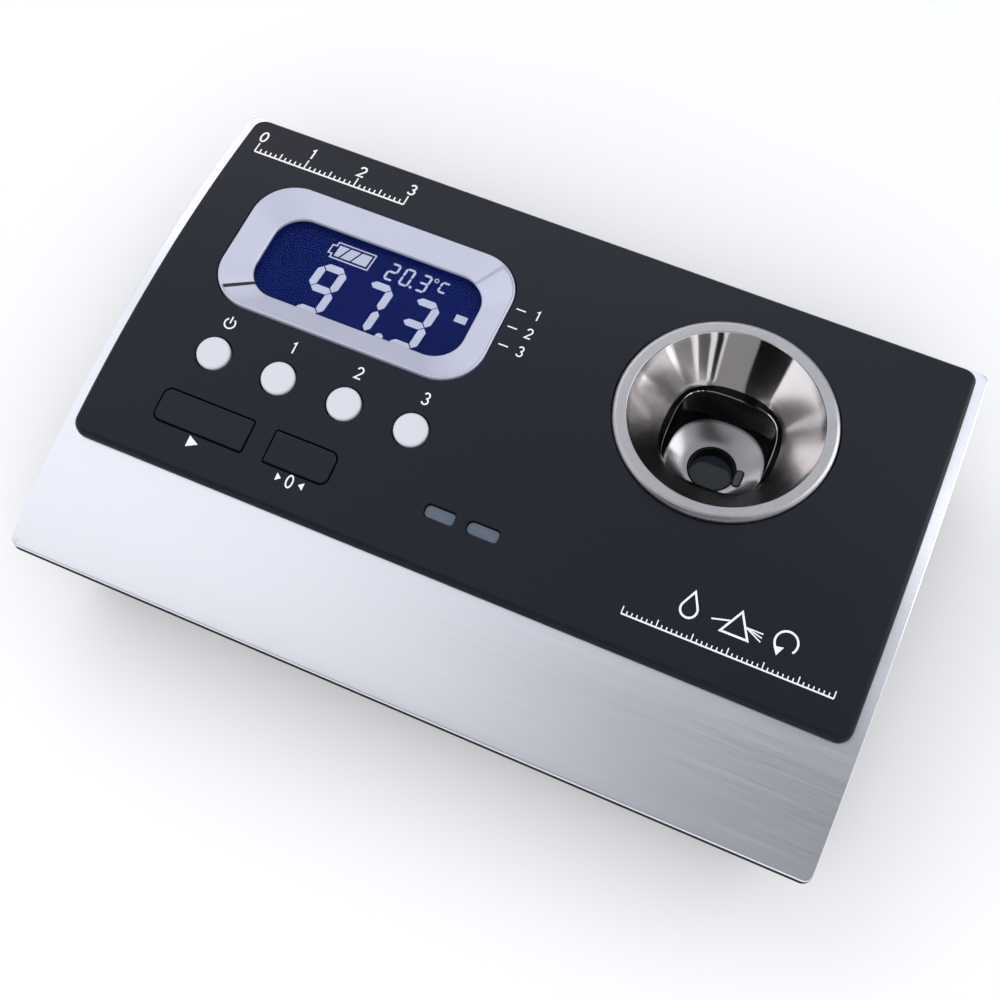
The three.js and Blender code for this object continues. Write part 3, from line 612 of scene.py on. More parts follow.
class Ink:
    """Flat marks raised a hair over a surface, drawn in millimetres.

    to_surface(u, v, height) places a point of the drawing, with all three in metres.
    """

    THICK = 0.04 * MM

    def __init__(self, to_surface):
        self.shell = Shell()
        self.to_surface = to_surface

    def rings(self, points):
        """The same points at the surface and over it."""
        heights = (0, self.THICK)
        return [self.shell.ring([self.to_surface(u * MM, v * MM, h) for u, v in points]) for h in heights]

    def patch(self, corners):
        """A convex patch from its corners, anticlockwise."""
        low, high = self.rings(corners)
        self.shell.wall(low, high)
        self.shell.cap(low, up=False)
        self.shell.cap(high)

    def line(self, points, width, closed=False):
        """A band of even width along a path, mitred at its bends."""
        path = [Vector(p) for p in points]
        count = len(path)
        left = []
        right = []
        for i, here in enumerate(path):
            before = path[i - 1] if i or closed else here
            after = path[(i + 1) % count] if i < count - 1 or closed else here
            ways = [(b - a).normalized() for a, b in ((before, here), (here, after)) if (b - a).length > 0]
            side = sum((Vector((-w.y, w.x)) for w in ways), Vector((0, 0))).normalized()
            reach = width / 2 / max(side.dot(Vector((-ways[0].y, ways[0].x))), 0.5)
            left.append(here + side * reach)
            right.append(here - side * reach)
        low, high = self.rings(left + right)
        for i in range(count if closed else count - 1):
            j = (i + 1) % count
            m = count + i
            n = count + j
            self.shell.faces += [
                (high[i], high[m], high[n], high[j]), (low[i], low[j], low[n], low[m]),
                (low[j], low[i], high[i], high[j]), (low[m], low[n], high[n], high[m]),
            ]
        if not closed:
            for i in (0, count - 1):
                end = (low[i], low[count + i], high[count + i], high[i])
                self.shell.faces.append(end if i == 0 else end[::-1])

    def arc(self, u, v, radius, start, end, width, steps=20):
        """Part of a circle, or the whole of it, with angles in degrees."""
        whole = end - start >= 360
        points = [Vector((u, v)) + p for p in bow(radius, radius, start, end, steps)]
        self.line(points[:-1] if whole else points, width, closed=whole)

    def dot(self, u, v, radius, steps=20):
        self.patch([Vector((u, v)) + p for p in bow(radius, radius, 0, 360, steps)[:-1]])

    def numeral(self, digit, u, v, height, width):
        """A plain numeral of even lines, centred on (u, v). `width` is the line's."""
        for stroke, closed in NUMERALS[digit]:
            self.line([(u + x * 0.62 * height, v + y * height) for x, y in stroke], width, closed)

    def piece(self, name, material):
        finish(self.shell.mesh(name), material)


def half_bow(y, rx, ry, start, end):
    """Points of a numeral's bowl, centred at a height of its unit box."""
    return [p + Vector((0, y)) for p in bow(rx, ry, start, end, 10)]


# Strokes of the numerals about the middle of a unit box, and whether each is closed.
NUMERALS = {
    0: [(bow(0.42, 0.5, 0, 360, 20)[:-1], True)],
    1: [([(-0.25, 0.32), (0.05, 0.5), (0.05, -0.5)], False)],
    2: [(half_bow(0.21, 0.4, 0.29, 165, -25) + [Vector((-0.42, -0.5)), Vector((0.45, -0.5))], False)],
    3: [(half_bow(0.25, 0.36, 0.25, 160, -90), False), (half_bow(-0.25, 0.42, 0.26, 90, -160), False)],
}


# ---------------------------------------------------------------- top sheet and control panel


def add_top_plate():
    """The arched sheet, brushed, with its cut edges just broken."""
    sheet = Extent("top_plate")
    lip = 2.9 * MM  # how far the panel covers the edge of the sheet's opening
    low = SHEET_BELOW + SHEET_THICK
    edge = rounding(0.22 * MM, 3)
    shell = Shell()
    outer = dense(rounded_rect(sheet.size.x, sheet.size.y, CORNER["sheet"], steps=12))
    opening = dense(Extent("control_panel").rect(-2 * lip, 3 * MM))
    profile = [(inset, low - depth) for inset, depth in reversed(edge)]
    profile += [(inset, SHEET_BELOW + depth) for inset, depth in edge]
    outside = [shell.arched(outer, inset, below) for inset, below in profile]
    inside = [shell.arched(opening, 0, low), shell.arched(opening, 0, SHEET_BELOW)]
    shell.walls(outside)
    shell.wall(inside[1], inside[0])
    shell.fill(outside[-1], [inside[1]], SHEET_BELOW)
    shell.fill(outside[0], [inside[0]], low, up=False)
    finish(shell.mesh("top_sheet"), "brushed_steel", "top_plate")


def panel_holes():
    """(frame, outline, edge rounding) of each hole in the panel, from the pieces that sit in them."""
    bezel = Extent("display_bezel", DISPLAY).size
    around_bezel = rounded_rect(bezel.x + 1.6 * GAP, bezel.y + 1.6 * GAP, CORNER["display"] + 0.8 * GAP)
    funnel = Extent("well_funnel", WELL).size.x / 2
    holes = [(DISPLAY, around_bezel, 0.25 * MM), (WELL, circle(funnel + 0.5 * GAP, 96), 0.12 * MM)]
    for node in ROUND_KEYS:
        holes.append((DECK, Extent(node, DECK).circle(ROUND_KEY_RADIUS + GAP, 40), 0.2 * MM))
    for node, left, right in FLAT_KEYS:
        around_key = Extent(node, DECK).rect(2 * (GAP - FLANGE_FLAT), left + GAP, right + GAP)
        holes.append((DECK, around_key, 0.12 * MM))
    for node, left, right in LENSES:
        holes.append((DECK, Extent(node, DECK).rect(GAP, left, right), 0.15 * MM))
    return holes


def add_control_panel():
    """The black cover: a rounded edge that rests on the sheet, and a plug that drops through it."""
    panel = Extent("control_panel")
    front, back, right = (PANEL_OVER[side] for side in ("front", "back", "right"))
    lip_low = SHEET_BELOW - GAP
    plug_inset = 4.6 * MM
    shell = Shell()
    outline = rounded_rect(panel.size.x + right, panel.size.y + front + back, CORNER["panel"], steps=12)
    outline = dense(moved(outline, panel.middle.x + right / 2, panel.middle.y + (back - front) / 2))
    profile = [(plug_inset, PLUG_LOW), (plug_inset, lip_low), (0.1 * MM, lip_low), (0, lip_low - 0.1 * MM)]
    outside = [shell.arched(outline, *level) for level in profile + rounding(1.1 * MM, 6)]
    shell.walls(outside)
    tops = []
    bottoms = []
    for place, draw, softened in panel_holes():
        draw = dense(draw)
        normal = place.col[2].to_3d()
        rings = []
        for inset, below in rounding(softened, 3)[::-1] + [(0, PLUG_LOW)]:
            rings.append(shell.ring([drop_to_arch(place, *p) - normal * below for p in draw(-inset)]))
        shell.walls(rings)
        tops.append(rings[0])
        bottoms.append(rings[-1])
    shell.fill(outside[-1], tops, 0, margin=0.9 * MM)
    shell.fill(outside[0], bottoms, PLUG_LOW, up=False, margin=0.9 * MM)
    finish(shell.mesh("panel_cover"), "black_panel", "control_panel")


# ---------------------------------------------------------------- display


def sunk(point):
    """How much lower the bezel's front and right slopes are, most of all next to the step."""
    angle = math.degrees(math.atan2(point.y, point.x))
    if STEP_FRONT < angle < STEP_RIGHT:
        along = (angle - STEP_FRONT) / (STEP_RIGHT - STEP_FRONT)
        return STEP_DEPTH * (0.35 + 0.65 * (2 * along - 1) ** 4)
    return 0.0


def add_bezel():
    """The silver frame. Its slope is in two parts that meet in a step at two opposite corners."""
    box = Extent("display_bezel", DISPLAY)
    window = Extent("display_window", DISPLAY)
    land = 0.35 * MM
    slope_low = -2.3 * MM
    rebate = window.high.z + 0.1 * MM
    outer = rounded_rect(box.size.x, box.size.y, CORNER["display"], steps=24)
    inner = rounded_rect(*VIEW, CORNER["view"], steps=24)
    glass = rounded_rect(window.size.x + GAP, window.size.y + GAP, 1.7 * MM, steps=24)
    top = outer(land)
    shell = Shell(DISPLAY)
    profile = [(0, box.low.z)] + [(inset, box.high.z - depth) for inset, depth in rounding(land, 4)]
    rings = [shell.level(outer, inset, z) for inset, z in profile]
    # The slope, from its top (0) to the edge of the opening (1).
    slope = [(share, slope_low * share) for share in (0.04, 0.3, 0.6, 0.97)] + [(1, slope_low - 0.12 * MM)]
    for share, z in slope:
        rings.append(shell.ring([(*a.lerp(b, share), z - sunk(a)) for a, b in zip(top, inner(0))]))
    rings += [shell.level(draw, 0, z) for draw, z in ((inner, rebate), (glass, rebate), (glass, box.low.z))]
    shell.walls(rings, closed=True)
    piece = finish(shell.mesh("bezel"), "silver_frame", "display_bezel", angle=24)

    # The step's short face at the lower left is painted black: painted shade, standing in for the shadow in the
    # step.
    piece.data.materials.append(MATERIALS["black_plastic"])
    depths = [sunk(p) for p in top]
    step = next(i for i, (here, after) in enumerate(zip(depths, depths[1:])) if here == 0 < after)
    for wall in range(len(profile), len(profile) + 4):
        piece.data.polygons[wall * len(top) + step].material_index = 1


def add_display_layers():
    """Window, liquid-crystal glass and backlight, each with softened edges."""
    layers = [
        ("display_window", "window_sheet", "clear_window", 0.12 * MM),
        ("lcd_glass", "display_field", "display_blue", 0.1 * MM),
        ("lcd_backlight", "light_guide", "white_plastic", 0.3 * MM),
    ]
    for node, name, material, edge in layers:
        box = Extent(node, DISPLAY)
        shell = Shell(DISPLAY)
        shell.slab(rounded_rect(box.size.x, box.size.y, 1.5 * MM), box.low.z, box.high.z, edge)
        finish(shell.mesh(name), material, node)


# The seven bars of a digit by their ends in a unit box, and which bars each sign lights.
BARS = {
    "top": ((0, 1), (1, 1)),
    "upper_left": ((0, 0.5), (0, 1)),
    "upper_right": ((1, 0.5), (1, 1)),
    "middle": ((0, 0.5), (1, 0.5)),
    "lower_left": ((0, 0), (0, 0.5)),
    "lower_right": ((1, 0), (1, 0.5)),
    "bottom": ((0, 0), (1, 0)),
}
LIT = {
    "0": ["top", "upper_left", "upper_right", "lower_left", "lower_right", "bottom"],
    "2": ["top", "upper_right", "middle", "lower_left", "bottom"],
    "3": ["top", "upper_right", "middle", "lower_right", "bottom"],
    "7": ["top", "upper_right", "lower_right"],
    "9": ["top", "upper_left", "upper_right", "middle", "lower_right", "bottom"],
    "celsius": ["top", "upper_left", "lower_left", "bottom"],
}


def draw_digit(ink, sign, left, low, width, height, stroke):
    """A seven-bar digit with pointed bars, leaning a little to the right."""
    half = stroke / 2
    for bar in LIT[sign]:
        a, b = (Vector((half + x * (width - stroke), half + y * (height - stroke))) for x, y in BARS[bar])
        way = (b - a).normalized()
        side = Vector((-way.y, way.x)) * half
        a += way * stroke * 0.09
        b -= way * stroke * 0.09
        tip = way * half
        corners = [a, a - side + tip, b - side - tip, b, b + side - tip, a + side + tip]
        ink.patch([(left + c.x + (low + c.y) * SLANT, low + c.y) for c in corners])


def add_segments():
    """What the display reads: a level, a temperature, a battery and a marker."""
    top = Extent("lcd_glass", DISPLAY).high.z
    ink = Ink(lambda u, v, height: DISPLAY @ Vector((u, v, top + height)))
    for sign, left in (("9", -12.3), ("7", -1.4), ("3", 9.3)):
        draw_digit(ink, sign, left, low=-10.15, width=6.7, height=13.1, stroke=1.75)
    ink.dot(7.0, -9.3, 0.85)
    for sign, left in (("2", 1.0), ("0", 4.45), ("3", 8.3)):
        draw_digit(ink, sign, left, low=4.05, width=2.35, height=4.6, stroke=0.5)
    ink.dot(7.75, 4.4, 0.33)
    ink.arc(12.3, 8.1, 0.42, 0, 360, 0.22)
    draw_digit(ink, "celsius", 12.75, low=5.6, width=2.1, height=2.9, stroke=0.45)
    draw_battery_sign(ink, -12.6, 4.6, 9.7, 4.1)
    ink.patch([(19.6, 0.4), (22.2, 0.4), (22.2, 2.2), (19.6, 2.2)])
    ink.piece("display_segments", "display_segment")


def draw_battery_sign(ink, left, low, width, height):
    """A battery's outline with its nub to the left and three slanted bars in it."""
    body = left + 0.9
    right = left + width
    high = low + height
    nub_low = low + height * 0.24
    nub_high = low + height * 0.76
    outline = [(body, low), (right, low), (right, high), (body, high)]
    outline += [(body, nub_high), (left, nub_high), (left, nub_low), (body, nub_low)]
    ink.line([(u + v * SLANT, v) for u, v in outline], 0.3, closed=True)
    room = 0.62
    gap = 0.42
    lean = 1.15
    bars = 3
    low += room
    high -= room
    step = (right - body - 2 * room + gap) / bars
    for i in range(bars):
        start = body + room + i * step
        end = start + step - gap
        low_left = start - (lean if i else 0)
        low_right = end - (lean if i < bars - 1 else 0)
        corners = [(low_left, low), (low_right, low), (end, high), (start, high)]
        ink.patch([(u + v * SLANT, v) for u, v in corners])


# ---------------------------------------------------------------- keys and lenses


def add_key(node, outline, flange, top, material):
    """A key with a flange under the panel. `top` holds (inset, depth) pairs, from its wall to its middle."""
    box = Extent(node, DECK)
    flange_high = box.low.z + FLANGE_THICK
    shell = Shell(DECK)
    profile = [(-flange, box.low.z), (-flange, flange_high), (0, flange_high)]
    shell.solid(outline, profile + [(inset, box.high.z - depth) for inset, depth in top])
    finish(shell.mesh(node.replace("key", "button")), material, node, node)


def add_keys():
    """Four round silver keys with crowned tops, and two flush ones in the panel's own colour."""
    edge = 0.55 * MM
    crown = 0.12 * MM
    top = [(inset, crown + depth) for inset, depth in rounding(edge, 5)]
    for share in (0.3, 0.55, 0.8, 0.95):
        top.append((edge + share * (ROUND_KEY_RADIUS - edge), crown * (1 - share) ** 2))
    for node in ROUND_KEYS:
        add_key(node, Extent(node, DECK).circle(ROUND_KEY_RADIUS), FLANGE_ROUND, top, "silver_key")
    for node, left, right in FLAT_KEYS:
        outline = Extent(node, DECK).rect(-2 * FLANGE_FLAT, left, right)
        add_key(node, outline, FLANGE_FLAT, rounding(0.28 * MM, 4), "key_black")


def add_lenses():
    """Two smoke-grey indicator lenses, set a little below the panel."""
    for node, left, right in LENSES:
        box = Extent(node, DECK)
        shell = Shell(DECK)
        shell.slab(box.rect(0, left - 0.1 * MM, right - 0.1 * MM), box.low.z, box.high.z, 0.12 * MM)
        finish(shell.mesh(node.replace("indicator_", "")), "grey_lens", node)


# ---------------------------------------------------------------- marks on the panel


def add_panel_marks():
    """Plain signs in place of the lettering: numerals, ticks, scales and pictograms."""
    ink = Ink(lambda u, v, height: (u, v, arch_height(v) - 0.008 * MM + height))
    thin = 0.32
    label = 2.5

    # Over the round keys: a power sign, then the numbers of the three readings.
    row = Extent("power_key").high.y / MM + 2
    power, *modes = [Extent(node).middle.x / MM for node in ROUND_KEYS]
    ink.arc(power, row, 1.15, 125, 415, thin)
    ink.line([(power, row), (power, row + 1.6)], thin)
    for number, u in enumerate(modes, 1):
        ink.numeral(number, u, row, label, thin)

    # Right of the display: a tick for each reading and its number.
    edge = Extent("display_bezel").high.x / MM
    for number in (1, 2, 3):
        v = 33.1 - 4.6 * number
        ink.line([(edge + 1.4, v), (edge + 3.5, v)], 0.28)
        ink.numeral(number, edge + 6.2, v, 2.3, 0.3)

    # Under the flush keys: a start arrow, and a zero between two arrows.
    start = Extent("start_key")
    v = start.low.y / MM - 1.5
    u = start.middle.x / MM
    ink.patch([(u - 1, v - 1.2), (u + 1.3, v), (u - 1, v + 1.2)])
    u = Extent("zero_key").middle.x / MM
    ink.numeral(0, u, v, label, thin)
    ink.patch([(u - 1.9, v), (u - 3, v + 0.8), (u - 3, v - 0.8)])
    ink.patch([(u + 1.9, v), (u + 3, v - 0.8), (u + 3, v + 0.8)])

    draw_scale(ink, -78, 43.6, 36)
    draw_pictograms(ink, 56, -17.2)
    ink.piece("panel_marks", "white_ink")


def draw_scale(ink, left, low, length):
    """A measuring scale with numerals at its long ticks."""
    ticks = 30
    ink.line([(left, low), (left + length, low)], 0.4)
    for i in range(ticks + 1):
        u = left + length * i / ticks
        tall = 2.6 if i % 10 == 0 else 1.8 if i % 5 == 0 else 1.1
        ink.line([(u, low), (u, low + tall)], 0.3)
        if i % 10 == 0:
            ink.numeral(i // 10, u, low + 4.6, 2.7, 0.42)


def draw_pictograms(ink, middle, v):
    """A drop, a prism that splits a ray, and a turning arrow, over a fine ruled line."""
    line = 0.42
    drop = Vector((middle - 9.5, v))
    belly = [drop + Vector((0, -0.9)) + p for p in bow(1.65, 1.65, 150, 390, 16)]
    ink.line(belly + [drop + Vector((0, 2.7))], line, closed=True)

    ink.line([(middle - 2.7, v - 2.4), (middle + 2.7, v - 2.4), (middle, v + 2.4)], line, closed=True)
    ink.line([(middle - 5, v - 0.9), (middle - 1.6, v)], 0.3)
    for fall in (0.1, 0.9, 1.7):
        ink.line([(middle + 1.6, v - 0.1), (middle + 5, v - fall)], 0.24)

    turn = Vector((middle + 9.5, v))
    ink.arc(*turn, 2.2, -40, 240, line)
    end = turn + bow(2.2, 2.2, -40, 240)[-1]
    ink.patch([end + Vector(p) for p in ((-0.9, 0.5), (0.1, -1.0), (1.0, 0.9))])

    base = v - 6.4
    ink.line([(middle - 21, base), (middle + 21, base)], 0.3)
    for i in range(-21, 22):
        ink.line([(middle + i, base), (middle + i, base + (0.8 if i % 7 else 1.5))], 0.22)


# ---------------------------------------------------------------- sample well


def add_funnel():
    """One turned and polished piece: a satin ring round a mirror cone that narrows to a squarish mouth."""
    box = Extent("well_funnel", WELL)
    ring = box.size.x / 2
    top = box.high.z
    under = top - 3 * MM
    levels = 8
    shell = Shell(WELL)
    rim = [(ring, under)] + [(ring - inset, top - depth) for inset, depth in rounding(1.1 * MM, 8)]
    rim += [(CONE_HALF + 0.22 * MM, top - 0.02 * MM), (CONE_HALF + 0.12 * MM, top - 0.08 * MM)]
    rings = [shell.level(circle(half, 96), 0, z) for half, z in rim]
    upper = circle(CONE_HALF, 96)(0)
    lower = squircle(MOUTH_HALF, MOUTH_POWER)(0)
    for share in [i / levels for i in range(levels + 1)]:
        rings.append(shell.ring([(*a.lerp(b, share), MOUTH_LOW * share) for a, b in zip(upper, lower)]))
    lip = [(0.02 * MM, 0.3 * MM), (-0.1 * MM, 0.2 * MM), (-0.12 * MM, 0.1 * MM), (0, 0), (MOUTH_WALL, 0)]
    rings += [shell.level(squircle(LIP + out, SQUARISH), 0, box.low.z + z) for out, z in lip]
    rings.append(shell.level(circle(ring - 1.4 * MM, 96), 0, under))
    shell.walls(rings, closed=True)
    piece = finish(shell.mesh("funnel"), "polished_steel", "well_funnel", angle=28)

    around = len(upper)
    satin = around * (len(rim) - 1)
    neck = satin + around * (levels + 1)
    # The band from the mouth's edge down to the lip gets gloss black: a painted dark reflection on the steel,
    # which is one piece with the cone.
    bands = [(0, satin, "satin_ring"), (satin, neck, "turned_steel"), (neck, neck + around, "gloss_black")]
    for index, (start, end, material) in enumerate(bands, 1):
        piece.data.materials.append(MATERIALS[material])
        for face in piece.data.polygons[start:end]:
            face.material_index = index


def add_gasket():
    """Black rubber between the funnel and the well: two soft beads that show in the mouth."""
    box = Extent("well_gasket", WELL)
    outer = box.size.x / 2
    inner = 10.85 * MM
    high = box.high.z
    low = box.low.z
    bead = [(0.35 * MM, 0), (0.08 * MM, 0.1 * MM), (0, 0.24 * MM)]
    profile = [(outer, low), (outer, high)]
    profile += [(inner + out, high - depth) for out, depth in bead]
    profile += [(inner + 0.08 * MM, box.middle.z)]
    profile += [(inner + out, low + depth) for out, depth in reversed(bead)]
    shell = Shell(WELL)
    shell.tube(profile, SQUARISH)
    finish(shell.mesh("mouth_gasket"), "seal_rubber", "well_gasket", angle=50)


def rod(place, radius, left, right):
    """A rod along X of a frame."""
    shell = Shell(place @ Matrix.Rotation(math.radians(90), 4, "Y"))
    shell.solid(circle(radius, 40), [(0, left), (0, right)])
    return shell.mesh("rod")


def add_liner():
    """The well's glossy black wall, pierced left and right for the beam, and the two glasses in it."""
    box = Extent("well_liner", WELL)
    window = Extent("cell_window_right", WELL)
    inner = 11.2 * MM
    edge = 0.3 * MM
    reach = 20 * MM
    outer = box.size.x / 2
    profile = [(outer, box.low.z), (outer, box.high.z), (inner + edge, box.high.z)]
    profile += [(inner + inset, box.high.z - depth) for inset, depth in rounding(edge, 4)[-2::-1]]
    shell = Shell(WELL)
    shell.tube(profile + [(inner, box.low.z)], SQUARISH)
    beam = WELL @ Matrix.Translation((0, 0, window.middle.z))
    tools = [rod(beam, 3.4 * MM, -reach, reach)]
    for side in (-1, 1):
        ends = sorted((side * (window.low.x - 0.5 * GAP), side * reach))
        tools.append(rod(beam, window.size.z / 2 + 0.5 * GAP, *ends))
    wall = carve(shell.mesh("well_wall"), tools)
    finish(wall, "gloss_black", "well_liner", angle=40)
    for node in ("cell_window_left", "cell_window_right"):
        box = Extent(node, beam)
        shell = Shell(beam @ Matrix.Rotation(math.radians(90), 4, "Y"))
        shell.slab(circle(box.size.z / 2, 40), box.low.x, box.high.x, 0.15 * MM)
        finish(shell.mesh(node.replace("window", "glass")), "clear_window", node)


def sensor_extent():
    """The temperature sensor's box, moved to where the dish has its socket."""
    box = Extent("temperature_sensor", WELL)
    box.middle += Vector((-1.1 * MM, PIT_Y - 0.1 * MM, 0))
    return box


def add_dish():
    """The polished floor of the well, with a pit for the prism and a socket for the temperature sensor."""
    box = Extent("well_floor", WELL)
    pill = sensor_extent()
    levels = 8
    hole = Extent("prism_seal", WELL).size.x / 2 + 0.1 * MM
    skirt = squircle(DISH_HALF + 0.3 * MM, DISH_POWER)
    upper = squircle(DISH_HALF, DISH_POWER)(0)
    lower = moved(circle(6 * MM, 96), 0, PIT_Y)(0)
    highs = [box.high.z + FRONT_RISE * max(0.0, -p.y / DISH_HALF) for p in upper]
    shell = Shell(WELL_FLOOR)
    rings = [shell.level(skirt, 0, box.low.z)]
    rings.append(shell.ring([(*p, z) for p, z in zip(skirt(0), highs)]))
    for share in [i / levels for i in range(levels + 1)]:
        fall = 1 - (1 - share) ** 1.3
        points = [(*a.lerp(b, share), z + (DISH_LOW - z) * fall) for a, b, z in zip(upper, lower, highs)]
        rings.append(shell.ring(points))
    pit = [(hole + 0.12 * MM, DISH_LOW - 0.05 * MM), (hole, DISH_LOW - 0.2 * MM), (hole, box.low.z)]
    rings += [shell.level(moved(circle(half, 96), 0, PIT_Y), 0, z) for half, z in pit]
    shell.walls(rings, closed=True)
    socket = Shell(WELL_FLOOR)
    outline = pill.rect(0.3 * MM, pill.size.x / 2)
    socket.solid(outline, [(0, box.low.z - 1 * MM), (0, box.high.z + 1 * MM)])
    dish = carve(shell.mesh("dish"), [socket.mesh("socket")])
    finish(dish, "dish_steel", "well_floor", angle=28)


def add_dish_surround():
    """A black ring that closes the gap between the dish's edge and the wall."""
    top = Extent("well_floor", WELL).high.z
    outer = squircle(11.95 * MM, SQUARISH)
    middle = squircle(DISH_HALF + 0.2 * MM, DISH_POWER)
    inner = squircle(DISH_HALF, DISH_POWER)
    shell = Shell(WELL_FLOOR)
    levels = [(outer, -0.9), (outer, 0.05), (middle, 0.05), (inner, -0.05), (inner, -0.9)]
    shell.walls([shell.level(draw, 0, top + z * MM) for draw, z in levels], closed=True)
    finish(shell.mesh("dish_surround"), "gloss_black", angle=50)


def add_sensor():
    """The temperature sensor: a pill that stands a little proud of the dish."""
    box = sensor_extent()
    shell = Shell(WELL_FLOOR)
    shell.slab(box.rect(0, box.size.x / 2 - 0.01 * MM), box.low.z, box.high.z - 0.25 * MM, 0.3 * MM)
    finish(shell.mesh("sensor_pill"), "grey_sensor", "temperature_sensor", angle=60)


def add_seal():
    """The black ring round the prism."""
    outer = Extent("prism_seal", WELL).size.x / 2
    inner = 4.85 * MM
    low = Extent("measuring_prism", WELL).high.z - 3.6 * MM
    high = DISH_LOW - 0.12 * MM
    profile = [(outer, low), (outer, high - 0.06 * MM), (outer - 0.05 * MM, high)]
    profile += [(inner + 0.06 * MM, high), (inner, high - 0.06 * MM), (inner, low)]
    shell = Shell(PIT)
    shell.tube(profile, steps=64)
    finish(shell.mesh("seal_ring"), "seal_rubber", "prism_seal", angle=50)


def add_prism():
    """Optical glass: a round collar with a polished face, on a wedge."""
    box = Extent("measuring_prism", WELL)
    collar_low = box.high.z - 4.2 * MM
    wedge = 5.6 * MM
    collar = Shell(PIT)
    collar.slab(circle(4.8 * MM), collar_low, box.high.z - 2.6 * MM, 0.12 * MM)
    body = Shell(PIT)
    low = body.level(rounded_rect(3.2 * MM, wedge, 0.3 * MM), 0, box.low.z)
    high = body.level(rounded_rect(7.4 * MM, wedge, 0.3 * MM), 0, collar_low + 0.4 * MM)
    body.wall(low, high)
    body.cap(low, up=False)
    body.cap(high)
    piece = carve(collar.mesh("prism"), [body.mesh("wedge")], "UNION")
    finish(piece, "prism_face", "measuring_prism")


# ---------------------------------------------------------------- lower case


def case_outline(box):
    """The case's outline. Its corners grow rounder as the wall tapers in."""

    def draw(inset):
        shrink = 2 * (inset + CASE_MARGIN)
        corner = CORNER["case"] + 0.5 * max(inset, 0)
        return rounded_rect(box.size.x - shrink, box.size.y - shrink, corner, steps=12)(0)

    return dense(draw, 6 * MM)


def case_form(box):
    """The case's outer form, closed at the top under the sheet."""
    outline = case_outline(box)
    low = box.low.z
    profile = [
        (CHAMFER_INSET + 0.5 * MM, low),
        (CHAMFER_INSET + 0.15 * MM, low + 0.08 * MM),
        (TAPER_INSET + 0.3 * MM, CHAMFER_TOP - 0.35 * MM),
        (TAPER_INSET, CHAMFER_TOP),
        (TAPER_INSET - 0.12 * MM, CHAMFER_TOP + 0.45 * MM),
        (0.15 * MM, TAPER_TOP - 0.5 * MM),
        (0, TAPER_TOP),
        (0, TAPER_TOP + 0.6 * MM),
    ]
    shell = Shell()
    rings = [shell.level(outline, inset, z) for inset, z in profile]
    rings += [shell.arched(outline, inset, RIM_BELOW + depth) for inset, depth in rounding(0.25 * MM, 3)]
    shell.walls(rings)
    shell.cap(rings[0], up=False)
    shell.fill(rings[-1], [], RIM_BELOW)
    return shell.mesh("case_tub")


def block(left, right, half, low, high):
    """A block from left to right and as far to the front as to the back, with rounded upright edges."""
    outline = moved(rounded_rect(right - left, 2 * half, 0.4 * MM, steps=4), (left + right) / 2, 0)
    shell = Shell()
    shell.solid(outline, [(0, low), (0, high)])
    return shell.mesh("block")


def pin(outline, profile):
    """An upright solid that shapes another piece."""
    shell = Shell()
    shell.solid(outline, profile)
    return shell.mesh("pin")


def add_lower_case():
    """One moulded tub with a tapered wall, a battery bay, a door slot and four screw pillars."""
    box = Extent("lower_case")
    door = Extent("battery_door")
    low = box.low.z
    above = box.high.z + 10 * MM
    hollow = [(TAPER_INSET + CASE_WALL + 0.2 * MM, FLOOR_HIGH), (CASE_WALL, TAPER_TOP), (CASE_WALL, above)]
    tub = carve(case_form(box), [pin(case_outline(box), hollow)])

    base = FLOOR_HIGH - MM
    bay = block(BAY_WALL["left"], BAY_WALL["right"], BAY_WALL["half"], base, BAY_WALL["high"])
    screws = [Extent(f"case_screw_{side}") for side in SIDES]
    pillar_high = 12.7 * MM
    pillars = [pin(screw.circle(3.6 * MM, 32), [(0, base), (0, pillar_high)]) for screw in screws]
    carve(tub, [bay], "UNION")
    carve(tub, pillars, "UNION")

    far = -100 * MM
    tools = [
        block(BAY["left"], BAY["right"], BAY["half"], 0, BAY["high"]),
        block(far, BAY["right"], door.size.y / 2 + GAP, DOOR_GROOVE, FLOOR_HIGH),
        block(far, BAY["right"], DOOR_HALF + GAP, 0, DOOR_GROOVE + 0.1 * MM),
    ]
    flare = 0.4 * MM  # chamfer of each screw's counterbore
    head_high = 4.3 * MM
    for screw in screws:
        head = screw.circle(screw.size.x / 2 + GAP, 40)
        tools.append(pin(head, [(-flare - low, 0), (0, low + flare), (0, head_high)]))
        tools.append(pin(screw.circle(1.5 * MM, 40), [(0, 0), (0, low), (0, above)]))
    carve(tub, tools)
    finish(tub, "case_black", "lower_case", angle=26)


def add_door():
    """The sliding battery door, with ribs and an arrow for the thumb."""
    box = Extent("battery_door")
    case = Extent("lower_case")
    low = box.low.z
    plate_low = 2.5 * MM
    overlap = 0.1 * MM
    ribs = 6
    first_rib = -64 * MM
    pitch = 2.2 * MM
    plate = block(case.low.x, box.high.x, box.size.y / 2, plate_low, box.high.z)
    plate.name = "door_plate"
    carve(plate, [block(case.low.x, box.high.x, DOOR_HALF, low, plate_low + overlap)], "UNION")
    carve(plate, [case_form(case)], "INTERSECT")
    rib = rounded_rect(1.1 * MM, 13 * MM, 0.5 * MM, steps=6)
    cut = [(-0.15 * MM, low - 0.2 * MM), (0, low), (0.25 * MM, low + 0.45 * MM)]
    tools = [pin(moved(rib, first_rib + pitch * i, 0), cut) for i in range(ribs)]
    arrow = [Vector((-72.8 * MM, 0)), Vector((-68.8 * MM, -3 * MM)), Vector((-68.8 * MM, 3 * MM))]
    tools.append(pin(lambda inset: arrow, [(0, low - 0.2 * MM), (0, low + 0.3 * MM)]))
    carve(plate, tools)
    finish(plate, "case_black", "battery_door", "battery_door", 30)


